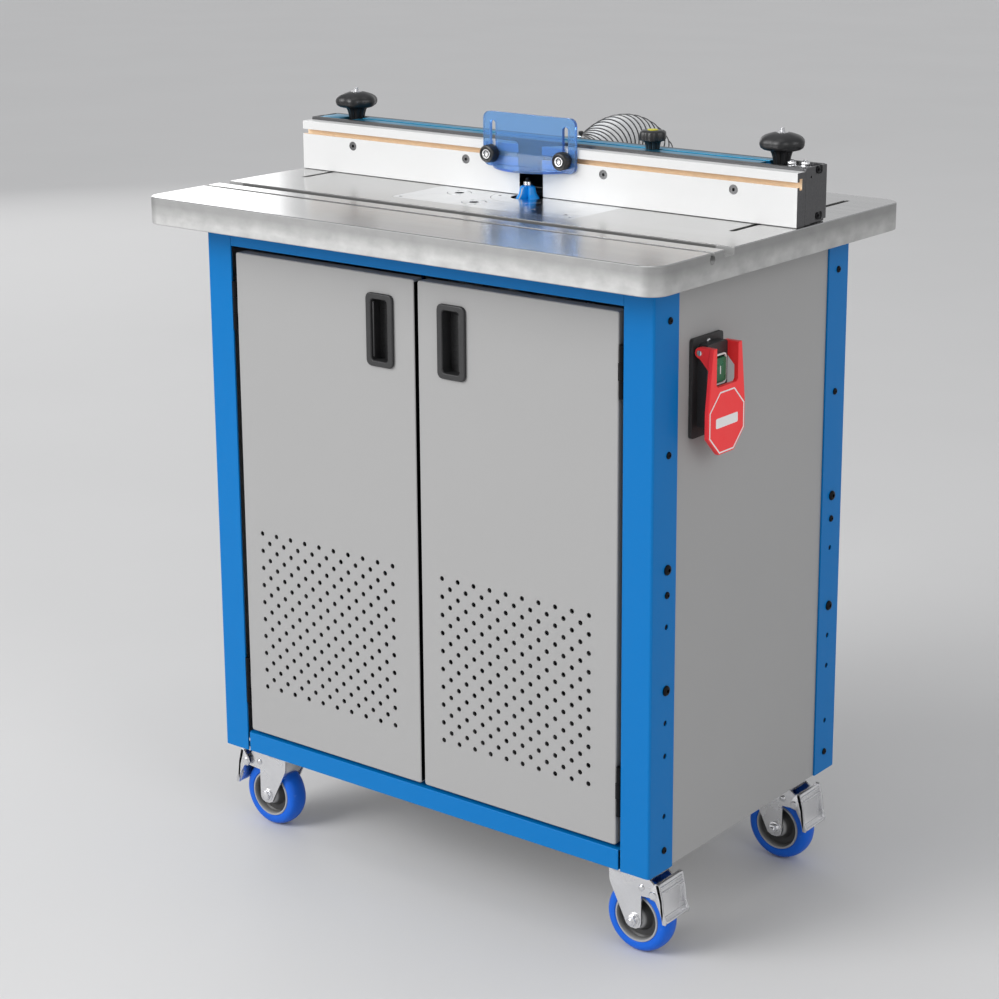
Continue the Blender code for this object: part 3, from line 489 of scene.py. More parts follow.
def arc(radius, start, end, steps, centre=(0.0, 0.0)):
    """Points on an arc, with its angles in degrees."""
    turns = [radians(start + (end - start) * i / steps) for i in range(steps + 1)]
    return [(centre[0] + radius * cos(t), centre[1] + radius * sin(t)) for t in turns]


def eased(work, width=EASE, segments=2):
    """Round every edge that turns by more than a set angle."""
    work.normal_update()
    edges = [e for e in work.edges if e.is_manifold and e.calc_face_angle(0) > SHARP_EDGE]
    bmesh.ops.bevel(work, geom=edges, offset=width, segments=segments, profile=0.5, affect="EDGES",
        clamp_overlap=True)
    return work


def moved(work, offset=(0, 0, 0), turn=(0, 0, 0)):
    """Turn a shape about the origin and then move it."""
    matrix = Matrix.Translation(offset) @ Euler(turn).to_matrix().to_4x4()
    bmesh.ops.transform(work, matrix=matrix, verts=work.verts)
    return work


def gather(*shapes):
    """Several shapes as one, each keeping its own material number."""
    whole = bmesh.new()
    for number, group in enumerate(shapes):
        for shape in group if isinstance(group, (list, tuple)) else [group]:
            for face in shape.faces:
                face.material_index = number
            store = bpy.data.meshes.new("store")
            shape.to_mesh(store)
            whole.from_mesh(store)
            shape.free()
            bpy.data.meshes.remove(store)
    return whole


def piece(name, body, work, looks, stands_for=(), weighted=False):
    """Make a mesh object of a shape, dress it and let it ride on a body."""
    mesh = bpy.data.meshes.new(name)
    work.to_mesh(mesh)
    work.free()
    for look in looks if isinstance(looks, (list, tuple)) else [looks]:
        mesh.materials.append(LOOKS[look])
    mesh.shade_smooth()
    mesh.set_sharp_from_angle(angle=radians(33))
    thing = placed(name, mesh)
    if weighted:
        even = thing.modifiers.new("even_normals", "WEIGHTED_NORMAL")
        even.keep_sharp = True
    if body:
        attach(thing, body)
    if stands_for:
        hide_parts(*stands_for)
    return thing


def outline_of(node):
    """The clean mesh of a CAD node: split corners welded and flat faces whole again."""
    work = bmesh.new()
    work.from_mesh(frame["nodes"][node].data)
    bmesh.ops.remove_doubles(work, verts=work.verts, dist=0.000004)
    bmesh.ops.dissolve_limit(work, angle_limit=radians(0.6), verts=work.verts, edges=work.edges)
    bmesh.ops.recalc_face_normals(work, faces=work.faces)
    for face in work.faces:
        face.material_index = 0
    return work


def carve(work, *tools, operation="DIFFERENCE"):
    """Cut tools out of a shape, or join them to it, with exact booleans."""
    for tool in tools:
        objects = []
        for shape in (work, tool):
            mesh = bpy.data.meshes.new("carving")
            shape.to_mesh(mesh)
            shape.free()
            objects.append(placed("carving", mesh))
        step = objects[0].modifiers.new("carve", "BOOLEAN")
        step.operation = operation
        step.object = objects[1]
        ready = objects[0].evaluated_get(bpy.context.evaluated_depsgraph_get())
        result = bpy.data.meshes.new_from_object(ready)
        work = bmesh.new()
        work.from_mesh(result)
        for thing in objects:
            mesh = thing.data
            bpy.data.objects.remove(thing)
            bpy.data.meshes.remove(mesh)
        bpy.data.meshes.remove(result)
    return work


def refine(node, look, width=EASE, segments=2, tools=(), other=None):
    """Show a CAD node's own shape with eased edges and any further cuts; other tests for its second look."""
    work = carve(outline_of(node), *tools)
    bmesh.ops.dissolve_limit(work, angle_limit=radians(0.6), verts=work.verts, edges=work.edges)
    eased(work, width, segments)
    for face in work.faces:
        face.material_index = int(bool(other and other(face.calc_center_median())))
    body = frame["nodes"][node]["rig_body"]
    return piece(node + "_shape", body, work, look, (node,), weighted=True)


def hexagon(across, axis, centre, low, high, ease=0.0004):
    """A hexagon nut or bolt head, by its width across flats."""
    return prism(circle(across / 2 / cos(pi / 6), 6, centre), axis, low, high, ease)


def socket_screw(radius, dome, wrench, axis, centre, base, out):
    """A button-head screw with a hexagon socket; out is the direction that it stands in."""
    head = [(radius, base), (radius, base + out * dome * 0.35), (radius * 0.86, base + out * dome * 0.75),
        (radius * 0.55, base + out * dome)]
    work = turned(head, axis, centre, 24)
    tool = prism(circle(wrench, 6, centre), axis, base + out * dome * 0.25, base + out * dome * 2)
    return carve(work, tool)


# ---- camera, light and floor

def placed(name, data):
    """Put an object of that data into the scene."""
    thing = bpy.data.objects.new(name, data)
    bpy.context.scene.collection.objects.link(thing)
    return thing


def camera():
    data = bpy.data.cameras.new("camera")
    data.lens = 83.47
    data.sensor_width = 36.0
    data.shift_x = -0.0606
    data.shift_y = -0.0996
    thing = placed("camera", data)
    thing.location = (1.849, -2.386, 1.415)
    thing.rotation_euler = (radians(90 - 14.4), 0.0, radians(36.8))
    bpy.context.scene.camera = thing


def area_light(name, place, aim, size, power):
    data = bpy.data.lights.new(name, "AREA")
    data.shape = "RECTANGLE"
    data.size, data.size_y = size
    data.energy = power
    thing = placed(name, data)
    thing.location = place
    thing.rotation_euler = (Vector(aim) - Vector(place)).to_track_quat("-Z", "Y").to_euler()


def studio():
    """Soft boxes round the table, an even pale sky and a pale floor."""
    scene = bpy.context.scene
    scene.view_settings.view_transform = "Standard"
    area_light("key", (-1.4, -2.9, 1.95), (0, 0, 0.65), (1.6, 1.6), 45.0)
    area_light("fill", (3.6, -1.2, 2.4), (0, 0, 0.6), (2.0, 2.0), 30.0)
    area_light("window", (-4.9, 3.1, 1.75), (-0.3, 0, 0.9), (2.2, 1.7), 22.0)
    area_light("top", (0.0, -0.3, 3.6), (0, 0, 0.9), (2.0, 2.0), 10.0)
    data = bpy.data.lights.new("sky", "SUN")
    data.energy = 1.1
    data.angle = radians(40)
    placed("sky", data).rotation_euler = Vector((0.45, 0.75, -0.62)).to_track_quat("-Z", "Y").to_euler()
    world = bpy.data.worlds.new("studio")
    world.use_nodes = True
    tree = world.node_tree
    kinds = ("TexCoord", "SeparateXYZ", "ValToRGB")
    place, split, ramp = [tree.nodes.new("ShaderNode" + kind) for kind in kinds]
    tree.links.new(place.outputs["Generated"], split.inputs[0])
    stops = ((0.0, (0.9, 0.9, 0.905, 1)), (0.6, (0.6, 0.61, 0.63, 1)))
    for stop, (position, colour) in zip(ramp.color_ramp.elements, stops):
        stop.position = position
        stop.color = colour
    tree.links.new(split.outputs["Z"], ramp.inputs[0])
    tree.links.new(ramp.outputs[0], tree.nodes["Background"].inputs[0])
    tree.nodes["Background"].inputs[1].default_value = 0.8
    scene.world = world

    work = bmesh.new()
    bmesh.ops.create_grid(work, x_segments=8, y_segments=8, size=40.0)
    mesh = bpy.data.meshes.new("floor")
    work.to_mesh(mesh)
    work.free()
    look = surface("pale_floor", (0.66, 0.655, 0.65), 0.6, 0.0,
        [((1.6, 5.0), 0.35, 0.7, (0.63, 0.625, 0.62), 0.5)], None, [((60.0, 3.0), 0.0004, 0.3)])
    mesh.materials.append(look.material)
    floor = placed("floor", mesh)
    floor.location.z = cad_low.z - 0.0002


# ---- dust hose

def smooth_route(points, step):
    """Points about one step apart on a smooth curve through the route."""
    route = [Vector(point) for point in points]
    ends = [route[0] * 2 - route[1]] + route + [route[-1] * 2 - route[-2]]
    found = [route[0]]
    for a, b, c, d in zip(ends, ends[1:], ends[2:], ends[3:]):
        count = max(1, round((c - b).length / step))
        for i in range(1, count + 1):
            t = i / count
            found.append(0.5 * ((2 * b) + (c - a) * t + (2 * a - 5 * b + 4 * c - d) * t ** 2
                + (3 * b - a - 3 * c + d) * t ** 3))
    return found


def tangents_of(points):
    """Direction of a path at each of its points."""
    last = len(points) - 1
    return [(points[min(i + 1, last)] - points[max(i - 1, 0)]).normalized() for i in range(last + 1)]


def even_path(points, count):
    """The same path as evenly spaced points, and its length."""
    runs = [(b - a).length for a, b in zip(points, points[1:])]
    total = sum(runs)
    places, reached, index = [], 0.0, 0
    for i in range(count + 1):
        goal = total * i / count
        while index < len(runs) - 1 and reached + runs[index] < goal:
            reached += runs[index]
            index += 1
        share = min(1.0, max(0.0, (goal - reached) / runs[index]))
        places.append(points[index].lerp(points[index + 1], share))
    return places, total


def frames_along(points):
    """Side and up directions carried along a path without twist."""
    side = Vector((1, 0, 0))
    found = []
    for tangent in tangents_of(points):
        side = (side - tangent * side.dot(tangent)).normalized()
        found.append((side, tangent.cross(side).normalized()))
    return found


def hose():
    """Clear ribbed hose with a dark wire wound round it, from the fence's port to the cabinet's outlet."""
    fine = smooth_route(HOSE_ROUTE, 0.004)
    rib_steps = 8
    sides = 44
    ribs = round(even_path(fine, 400)[1] / HOSE_PITCH)
    count = ribs * rib_steps
    places, total = even_path(fine, count)
    frames = frames_along(places)
    outer = HOSE_RADIUS - HOSE_WIRE * 1.9
    depth = 0.0017
    rings = []
    for i, (place, (side, up)) in enumerate(zip(places, frames)):
        ring = []
        for j in range(sides):
            turn = 2 * pi * j / sides
            wave = cos(2 * pi * (i / rib_steps - j / sides))
            crest = max(0.0, wave) ** 0.8 if wave > 0 else 0.35 * max(0.0, -wave) ** 3
            radius = outer - depth * (1 - crest)
            ring.append(place + side * (radius * cos(turn)) + up * (radius * sin(turn)))
        rings.append(ring)
    thing = piece("dust_hose_shape", None, loft(rings), "film")

    coil = []
    steps = 36
    for k in range(ribs * steps + 1):
        turn = 2 * pi * k / steps
        spot = min(count, k / steps * rib_steps)
        low = min(count - 1, int(spot))
        place = places[low].lerp(places[low + 1], spot - low)
        side, up = frames[low]
        reach = HOSE_RADIUS - HOSE_WIRE * 1.7
        coil.append(place + side * (reach * cos(turn)) + up * (reach * sin(turn)))
    rings = [[place + side * (HOSE_WIRE * a) + up * (HOSE_WIRE * b) for a, b in circle(1.0, 6)]
        for place, (side, up) in zip(coil, frames_along(coil))]
    wire = piece("dust_hose_wire", None, loft(rings), "wire")
    for part in (thing, wire):
        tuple(HOSE_ROUTE[0])
        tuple(HOSE_ROUTE[-1])
        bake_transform(part)
    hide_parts("dust_hose")
    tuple(HOSE_ROUTE[0])
    [tuple(p) for p in places[::4]]


def cuffs():
    """The hose's straight ends over the fence's port and the cabinet's outlet, with their steel bands."""
    reach = HOSE_RADIUS - HOSE_WIRE * 1.7
    ends = (("fence", (0.0, PORT_Z), 0.108, 0.1318, 0.115), ("cabinet", OUTLET, 0.24, 0.2628, 0.2558))
    for body, centre, near, far, band_y in ends:
        sleeve = []
        for i in range(49):
            y = near + (far - near) * i / 48
            wave = cos(2 * pi * (y - near - 0.0035) / HOSE_PITCH)
            sleeve.append((reach - 0.0014 * (1 - max(0.0, wave)), y))
        sleeve += [(0.0316, far), (0.0316, near)]
        cuff = turned(sleeve, "Y", centre, 72, closed=True)
        wires = [turned([(reach + a * HOSE_WIRE, near + 0.0035 + i * HOSE_PITCH + b * HOSE_WIRE)
            for a, b in circle(1.0, 8)], "Y", centre, 72, closed=True) for i in range(3)]
        band = mm([(-0.6, -3.5), (1.2, -3.5), (1.2, 3.5), (-0.6, 3.5)], band_y)
        x, z = centre[0] + 0.01, centre[1] + 0.0318
        steel = [turned([(reach + a, y) for a, y in band], "Y", centre, 72, closed=True),
            block((x - 0.006, band_y - 0.003, z - 0.001), (x + 0.006, band_y + 0.003, z + 0.003), 0.0006)]
        key = [rod(0.0016, z + 0.002, z + 0.0055, "Z", (x + 0.003, band_y), 16),
            turned(mm([(2.4, 5), (3.3, 5.6), (3.3, 8.6), (2.6, 9.5)], z), "Z", (x + 0.003, band_y), 20)]
        piece("hose_cuff_" + body, body, gather(cuff, wires, steel, key), ["film", "wire", "zinc", "black"])


# ---- table

def table():
    refine("table_top", "iron", 0.0003)
    tools = []
    for x, y in (LIFT_HOLE, LOCK_HOLE):
        for start in (25, 205):
            end = start + 115
            band = arc(0.0168, start, end, 18, (x, y)) + arc(0.0155, end, start, 18, (x, y))
            head = [(x + radius * cos(radians(end) + spin), y + radius * sin(radians(end) + spin))
                for spin, radius in ((0.1, 0.0162), (-0.16, 0.0186), (-0.16, 0.0138))]
            tools += [prism(mark, "Z", TABLE_TOP - 0.0005, TABLE_TOP + 0.001) for mark in (band, head)]
    for x, y in ((0.066, -0.06), (0.123, -0.066)):
        tools.append(rod(0.003, TABLE_TOP - 0.004, TABLE_TOP + 0.001, "Z", (x, y), 20))
    screws = []
    for spot in [(x, y) for y in (plate_low.y + 0.01, plate_high.y - 0.01)
            for x in (plate_low.x + 0.01, plate_high.x - 0.01)]:
        tools.append(rod(0.0024, TABLE_TOP - 0.004, TABLE_TOP + 0.001, "Z", spot, 16))
        screw = rod(0.0023, TABLE_TOP - 0.0039, TABLE_TOP - 0.0012, "Z", spot, 16)
        screws.append(carve(screw, prism(circle(0.0012, 6, spot), "Z", TABLE_TOP - 0.003, TABLE_TOP)))
    refine("insert_plate", "plate", 0.0002, 1, tools)
    piece("insert_levelling_screws", "cabinet", gather(screws), "steel_black")

    reach = (ring_high.x - ring_low.x) / 2
    top = TABLE_TOP
    profile = [(0.022, ring_low.z), (0.0427, ring_low.z), (0.0427, top - 0.004), (reach, top - 0.004),
        (reach, top - 0.0003), (reach - 0.0003, top), (0.0226, top), (0.022, top - 0.0006)]
    work = turned(profile, "Z", (0, BIT_Y), 96, closed=True)
    for spot in arc(0.0385, 200, 20, 1, (0, BIT_Y)):
        work = carve(work, rod(0.0022, top - 0.003, top + 0.001, "Z", spot, 16))
    piece("insert_ring_shape", "cabinet", work, "plate", ("insert_ring",), weighted=True)


def cutter():
    """Two-flute raised cutter with a guide bearing on its top."""
    base = 0.904
    profile = mm([(6.4, 0), (14.6, 1.5), (15.9, 5), (15.7, 8.5), (14, 11.5), (12.3, 14), (11.3, 17),
        (10.8, 20), (10.4, 22.5), (9.6, 24.3), (7.8, 25.2), (5.6, 25.6)], base)
    work = turned([(0.0064, 0.893)] + profile, "Z", (0, 0), 64)
    gullet = mm([(3, 4), (30, 1), (30, 30), (13, 30), (7.5, 14.5), (4, 9)])
    edge = mm([(6, 2), (15.2, 3), (16, 5.5), (15.8, 9), (12.7, 14), (11.5, 17.5), (10.8, 22.5), (9, 24.5),
        (6, 24.5)], base)
    tips = []
    for turn in (0, pi):
        work = carve(work, moved(prism(gullet, "Z", base - 0.0005, base + 0.03), (0, 0, 0), (0, 0, turn)))
        tips.append(moved(prism(edge, "Y", 0.0008, 0.0026), (0, 0, 0), (0, 0, turn)))
    shank = rod(0.0085, 0.8685, 0.874, "Z", (0, 0), 32)
    nut = prism(circle(0.0142, 6), "Z", 0.874, 0.8915, 0.001)
    bearing = turned(mm([(3, 25.6), (5, 25.8), (5.2, 26.2), (5.2, 30.4), (5, 30.8), (3, 31)], base), "Z",
        (0, 0), 40)
    screw = turned(mm([(2.6, 30.8), (2.6, 34.5), (2, 35.8)], base), "Z", (0, 0), 24)
    screw = carve(screw, prism(circle(0.0011, 6), "Z", base + 0.033, base + 0.04))
    whole = gather(work, [shank, nut, bearing] + tips, screw)
    moved(whole, (0, BIT_Y, 0), (0, 0, radians(-105)))
    piece("router_bit_shape", "bit", whole, ["cutter", "steel", "steel_black"], ("router_bit",))


def router():
    refine("lift_frame", "zinc", 0.0005)
    refine("lift_carriage", "lift", 0.0006)
    profile = mm([(24, 640), (30, 640), (40.5, 642.5), (44, 648), (45, 656)])
    for i in range(7):
        z = 0.664 + i * 0.006
        profile += mm([(45, 0), (43.6, 0.8), (43.6, 3), (45, 3.8)], z)
    profile += mm([(45, 850), (43.8, 854), (36.5, 861), (30, 864), (20.5, 865.5), (20, 868)])
    case = turned(profile, "Z", (0, BIT_Y), 72)
    band = [(44.9, 0), (45.2, 0), (45.2, 4), (44.9, 4)]
    label = [turned(mm(band, z), "Z", (0, BIT_Y), 72, closed=True) for z in (0.745, 0.762)]
    piece("router_motor_shape", "router", gather(case, label), ["motor", "track"], ("router_motor",))

    low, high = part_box("lift_screw")
    core, crest, pitch = 0.0033, 0.0038, 0.0016
    thread_top = 0.897
    turns = int((thread_top - low.z) / pitch)
    profile = [(core, low.z)]
    for i in range(turns):
        z = low.z + i * pitch
        profile += [(core, z + 0.0002), (crest, z + 0.0007), (crest, z + 0.0009), (core, z + 0.0014)]
    profile += [(core, thread_top), (0.0055, 0.899), (0.0055, high.z - 0.0004), (0.0051, high.z)]
    work = turned(profile, "Z", LIFT_HOLE, 24)
    work = carve(work, prism(circle(0.0032, 6, LIFT_HOLE), "Z", high.z - 0.006, high.z + 0.002))
    piece("lift_screw_shape", "lift_screw", work, "zinc", ("lift_screw",))


# ---- cabinet

def post_fittings(x, y, out):
    """Holes through a post's side face, the bolts that fill some of them, and a black disc just inside each
    open hole as painted shade.
    """
    tools, bolts = [], []
    for z, kind in POST_MARKS:
        radius = HOLE_RADIUS if kind == "hole" else 0.003
        tools.append(rod(radius, x - 0.006, x + 0.006, "X", (y, z), 20))
        # Painted shade: an open hole gets a black disc just inside the post wall.
        if kind == "hole":
            ends = sorted((x - out * 0.0014, x - out * 0.002))
            bolts.append(rod(radius + 0.0002, *ends, "X", (y, z), 20))
        else:
            sizes = SMALL_SCREW if kind == "small" else (0.0066, 0.0034, 0.0026)
            bolts.append(socket_screw(*sizes, "X", (y, z), x, out))
    return tools, bolts


def cabinet():
    for side, side_name in SIDES:
        for end_name, end in ENDS:
            place = end_name + "_" + side_name
            y = post_low.y + MARK_INSET_FRONT if end < 0 else rear_high.y - MARK_INSET_REAR
            tools, bolts = post_fittings(side * POST_X, y, side)
            refine("post_" + place, "blue", 0.0003, 2, tools)
            piece("post_bolts_and_hole_shade_" + place, "cabinet", gather(bolts), "steel_black")
        refine("side_panel_" + side_name, "grey", 0.0004)
    refine("rail_top_front", "blue", 0.0006)
    low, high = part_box("rail_bottom_front")
    gaps = []
    for side in (-1, 1):
        x = side * high.x
        gaps.append(block((x, low.y - 0.01, low.z - 0.01),
            (x - side * 0.0032, low.y + 0.004, high.z + 0.01), 0))
    refine("rail_bottom_front", "blue", 0.0018, 3, gaps)
    for panel in ("floor_panel", "back_panel"):
        refine(panel, "grey", 0.0004)
    spots = [(side * 0.336, z, rear_high.y) for z in (0.155, 0.39, 0.62, 0.85) for side in (-1, 1)]
    spots += [(x, z, rear_high.y - 0.0028) for x in (-0.2, 0.0, 0.2) for z in (0.15, 0.86)]
    screws = [socket_screw(*SMALL_SCREW, "Y", (x, z), y, 1) for x, z, y in spots]
    piece("back_screws", "cabinet", gather(screws), "steel_black")


def perforations(side_name):
    """All the holes of one door as a single cutter."""
    holes = []
    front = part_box("door_right")[0].y
    for offset, count in ((0.0, PERFORATION_COUNT), (0.5, PERFORATION_COUNT - 1)):
        for i in range(count):
            for j in range(count):
                centre = (PERFORATION_X[side_name] + (offset + i) * PERFORATION_PITCH[0],
                    PERFORATION_Z + (offset + j) * PERFORATION_PITCH[1])
                holes.append(rod(PERFORATION_RADIUS, front - 0.003, front + 0.01, "Y", centre, 14))
    return gather(holes)


def doors():
    for side, side_name in SIDES:
        # Painted shade: the outer edges and the middle edge of each door take the black steel look, so the
        # gaps beside the posts and between the doors read black.
        refine("door_" + side_name, ["grey", "steel_black"], 0.0003, 2,
            [perforations(side_name)], lambda centre: abs(centre.x) > 0.3126 or abs(centre.x) < 0.0034)
        refine("handle_" + side_name, "black", 0.0005, 2)
        low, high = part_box("handle_" + side_name)
        centre = ((low.x + high.x) / 2, (low.z + high.z) / 2)
        # A thumb lip along the hinge side of each recess, and its moulded ribs
        lip_x = centre[0] + side * 0.0105
        ribs = [block((lip_x, low.y + 0.003, centre[1] - 0.036),
            (lip_x + side * 0.0026, low.y + 0.0062, centre[1] + 0.036), 0.0006)]
        for i in range(9):
            z = centre[1] - 0.032 + i * 0.008
            ribs.append(block((centre[0] - 0.009, low.y + 0.0182, z - 0.0008),
                (centre[0] + 0.009, low.y + 0.019, z + 0.0008), 0.0003))
        piece("handle_grip_" + side_name, "door_" + side_name, gather(ribs), "black")
        for level in ("lower", "upper"):
            refine("hinge_" + side_name + "_" + level, "steel_black", 0.0002, 1)


# ---- switch

def octagon(flat, centre):
    tip = flat * 0.4142
    points = [(tip, flat), (flat, tip), (flat, -tip), (tip, -flat), (-tip, -flat), (-flat, -tip),
        (-flat, tip), (-tip, flat)]
    return [(centre[0] + a, centre[1] + b) for a, b in points]


def border(outer, inner, back, front):
    """A frame between two outlines, from back to front along X."""
    rows = ((outer, back), (outer, front), (inner, front), (inner, back))
    return loft([[(x, a, b) for a, b in outline] for outline, x in rows], closed=True)


def switch():
    y = (box_low.y + box_high.y) / 2
    refine("switch_box", "black", 0.0006, 2)
    refine("start_button", "green", 0.0007, 3)
    refine("stop_button", "red", 0.0008, 3)
    refine("stop_paddle", "red", 0.0007, 3)
    face = paddle_high.x
    centre = (y, PADDLE_MARK_Z)
    proud = 0.0002
    octagons = border(octagon(0.0382, centre), octagon(0.0364, centre), face - proud, face + proud)
    bar = prism(rounded(0.024, 0.0062, 0.002, 5, centre), "X", face - proud, face + proud)
    piece("paddle_marks", "paddle", gather([octagons, bar]), "white")

    z = (start_low.z + start_high.z) / 2
    bezel = border(rounded(0.0172, 0.019, 0.005, 6, (y, z)), rounded(0.0152, 0.017, 0.0036, 6, (y, z)),
        start_high.x - 0.0045 - proud, start_high.x - 0.0024)
    piece("start_bezel", "cabinet", eased(bezel, 0.0004), "white")
    mark = prism(rounded(0.0009, 0.005, 0.0008, 4, (y, z)), "X", start_high.x - proud, start_high.x + 0.00015)
    piece("start_mark", "start_button", mark, "white")
    screws = [socket_screw(0.0036, 0.0018, 0.0014, "X", (y, z), post_high.x + 0.0025, 1)
        for z in (box_high.z - 0.0075, box_low.z + 0.006)]
    piece("switch_screws", "cabinet", gather(screws), "steel")
    pins = [turned([(0.0034, y + end * 0.0306), (0.0034, y + end * 0.0318), (0.0022, y + end * 0.0324)], "Y",
        PADDLE_PIN, 20) for end in (-1, 1)]
    piece("paddle_pins", "cabinet", gather(pins), "steel")


# ---- casters

def wheel_shape():
    """Wheel about the Y axis: a crowned tread on a dished hub with its bearing."""
    tread = mm([(32.5, 13), (34, 14.6), (37.5, 14.9), (41.5, 14.2), (44.6, 11.8), (46.4, 8), (47.3, 4)])
    tread += [(WHEEL_RADIUS, 0.0)] + [(r, -y) for r, y in reversed(tread)]
    hub = mm([(6, 15.2), (11.8, 15.2), (12.8, 14), (16.5, 10.5), (17.8, 6), (20, 4), (27, 4), (29, 5.6),
        (29.6, 13.5), (30.2, 14.6), (31.8, 14.6), (32.6, 13.6)])
    hub += [(r, -y) for r, y in reversed(hub)]
    bearing = mm([(4.2, 16.3), (5.2, 16.3), (6.2, 15.6), (10, 15.6), (10.4, 15)])
    bearing += [(r, -y) for r, y in reversed(bearing)]
    return gather(turned(tread, "Y", (0, 0), 112, closed=True), turned(hub, "Y", (0, 0), 80, closed=True),
        turned(bearing, "Y", (0, 0), 40, closed=True))


def pedal_shape():
    """Pressed brake pedal about its pivot: a dished plate between raised flanges, with ridges and a lip."""
    skin = mm([(37.5, 110), (43, 109.5), (48, 90), (50, 72), (54, 61), (53, 57), (48.5, 57), (45.5, 72),
        (44, 86), (38.5, 104)])
    dish = mm([(37.5, 109.6), (42, 109.2), (43.2, 107), (45.2, 90), (46.8, 73), (49.4, 64), (53, 61),
        (52.6, 57.6), (48.5, 57.6), (45, 66), (44, 72), (42.5, 86), (39, 104)])
    cheek = mm([(27, 93), (29, 98.5), (37.5, 110), (43, 109.5), (48, 90), (50, 72), (49, 60), (44, 74),
        (37, 86), (30, 87)])
    x0, z0 = PEDAL_PIVOT
    parts = [prism([(a - x0, b - z0) for a, b in dish], "Y", -0.0242, 0.0242, 0.0005)]
    for low, high in ((-0.027, -0.024), (0.024, 0.027)):
        parts.append(prism([(a - x0, b - z0) for a, b in skin], "Y", low, high, 0.0007))
        near, far = (low, low + 0.0018) if low < 0 else (high - 0.0018, high)
        parts.append(prism([(a - x0, b - z0) for a, b in cheek], "Y", near, far, 0.0004))
    for x, z, radius in ((0.0436, 0.1046, 0.0016), (0.045, 0.0975, 0.0016), (0.0526, 0.06, 0.0017),
            (0.049, 0.0655, 0.0013)):
        parts.append(turned([(radius * 0.6, -0.0238), (radius, -0.0226), (radius, 0.0226),
            (radius * 0.6, 0.0238)], "Y", (x - x0, z - z0), 14))
    for end in (-1, 1):
        parts.append(turned([(0.0056, end * 0.0268), (0.0056, end * 0.0274), (0.0046, end * 0.0284)], "Y",
            (0, 0), 28))
    return gather(parts)


def fork_details():
    """Axle bolt, nut and washers, rivets and the ball race ring, about the swivel axis."""
    axle = (CASTER_LEAD, WHEEL_RADIUS)
    washer = ((9.6, 20.8), (9.6, 21.9), (8.8, 22.2))
    rivet = ((4.2, 20.5), (4.2, 21.8), (3.4, 22.8), (1.6, 23.4))
    parts = [turned(mm([(r, end * y) for r, y in washer]), "Y", axle, 36) for end in (-1, 1)]
    parts += [hexagon(0.013, "Y", axle, -0.027, -0.022, 0.0007),
        turned(mm([(4, -26.5), (4, -28.6), (3.2, -29.2)]), "Y", axle, 24),
        hexagon(0.013, "Y", axle, 0.022, 0.0262, 0.0009)]
    parts += [turned(mm([(r, end * y) for r, y in rivet]), "Y", (CASTER_LEAD + 0.0125, 0.0955), 24)
        for end in (-1, 1)]
    web = mm([(-37.6, 109.8), (-36.6, 92.5), (-29, 77.5), (-27.8, 78.5), (-34.6, 93), (-35.2, 109.8)])
    parts.append(prism([(CASTER_LEAD + a, b) for a, b in web], "Y", -0.0188, 0.0188, 0.0004))
    race = mm([(22.5, 109.5), (26.2, 110), (27, 112.5), (26.2, 115), (23.5, 116.5), (21.5, 116.5)])
    parts.append(turned(race, "Z", (0, 0), 56))
    return gather(parts)


def plate_details():
    """The four bolts that hold a caster's top plate."""
    parts = []
    for spot in [(a, b) for a in (-0.0365, 0.0365) for b in (-0.0325, 0.0325)]:
        parts += [rod(0.0068, 0.1239, 0.1228, "Z", spot, 24),
            hexagon(0.0105, "Z", spot, 0.118, 0.1229, 0.0005)]
    return gather(parts)


def casters():
    for side, side_name in SIDES:
        for end_name, y in CASTER_Y.items():
            place = end_name + "_" + side_name
            turn = (0, 0, 0 if side > 0 else pi)
            x = side * CASTER_X
            refine("caster_plate_" + place, "zinc", 0.0005)
            refine("caster_fork_" + place, "zinc", 0.0005)
            wheel = piece("caster_wheel_" + place + "_shape", None, wheel_shape(), ["tyre", "hub", "steel"])
            pedal = piece("brake_pedal_" + place + "_shape", None, pedal_shape(), "zinc")
            fork = piece("axle_bolt_" + place, None, fork_details(), "zinc")
            plate = piece("plate_bolts_" + place, None, plate_details(), "zinc")
            spots = ((wheel, "wheel_", (x + side * CASTER_LEAD, y, WHEEL_RADIUS)),
                (pedal, "pedal_", (x + side * (CASTER_LEAD + PEDAL_PIVOT[0]), y, PEDAL_PIVOT[1])),
                (fork, "fork_", (x, y, 0)), (plate, None, (x, y, 0)))
            for thing, body, location in spots:
                thing.location = location
                thing.rotation_euler = turn
                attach(thing, body + place if body else "cabinet")
            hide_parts("caster_wheel_" + place)
            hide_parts("brake_pedal_" + place)


# ---- fence

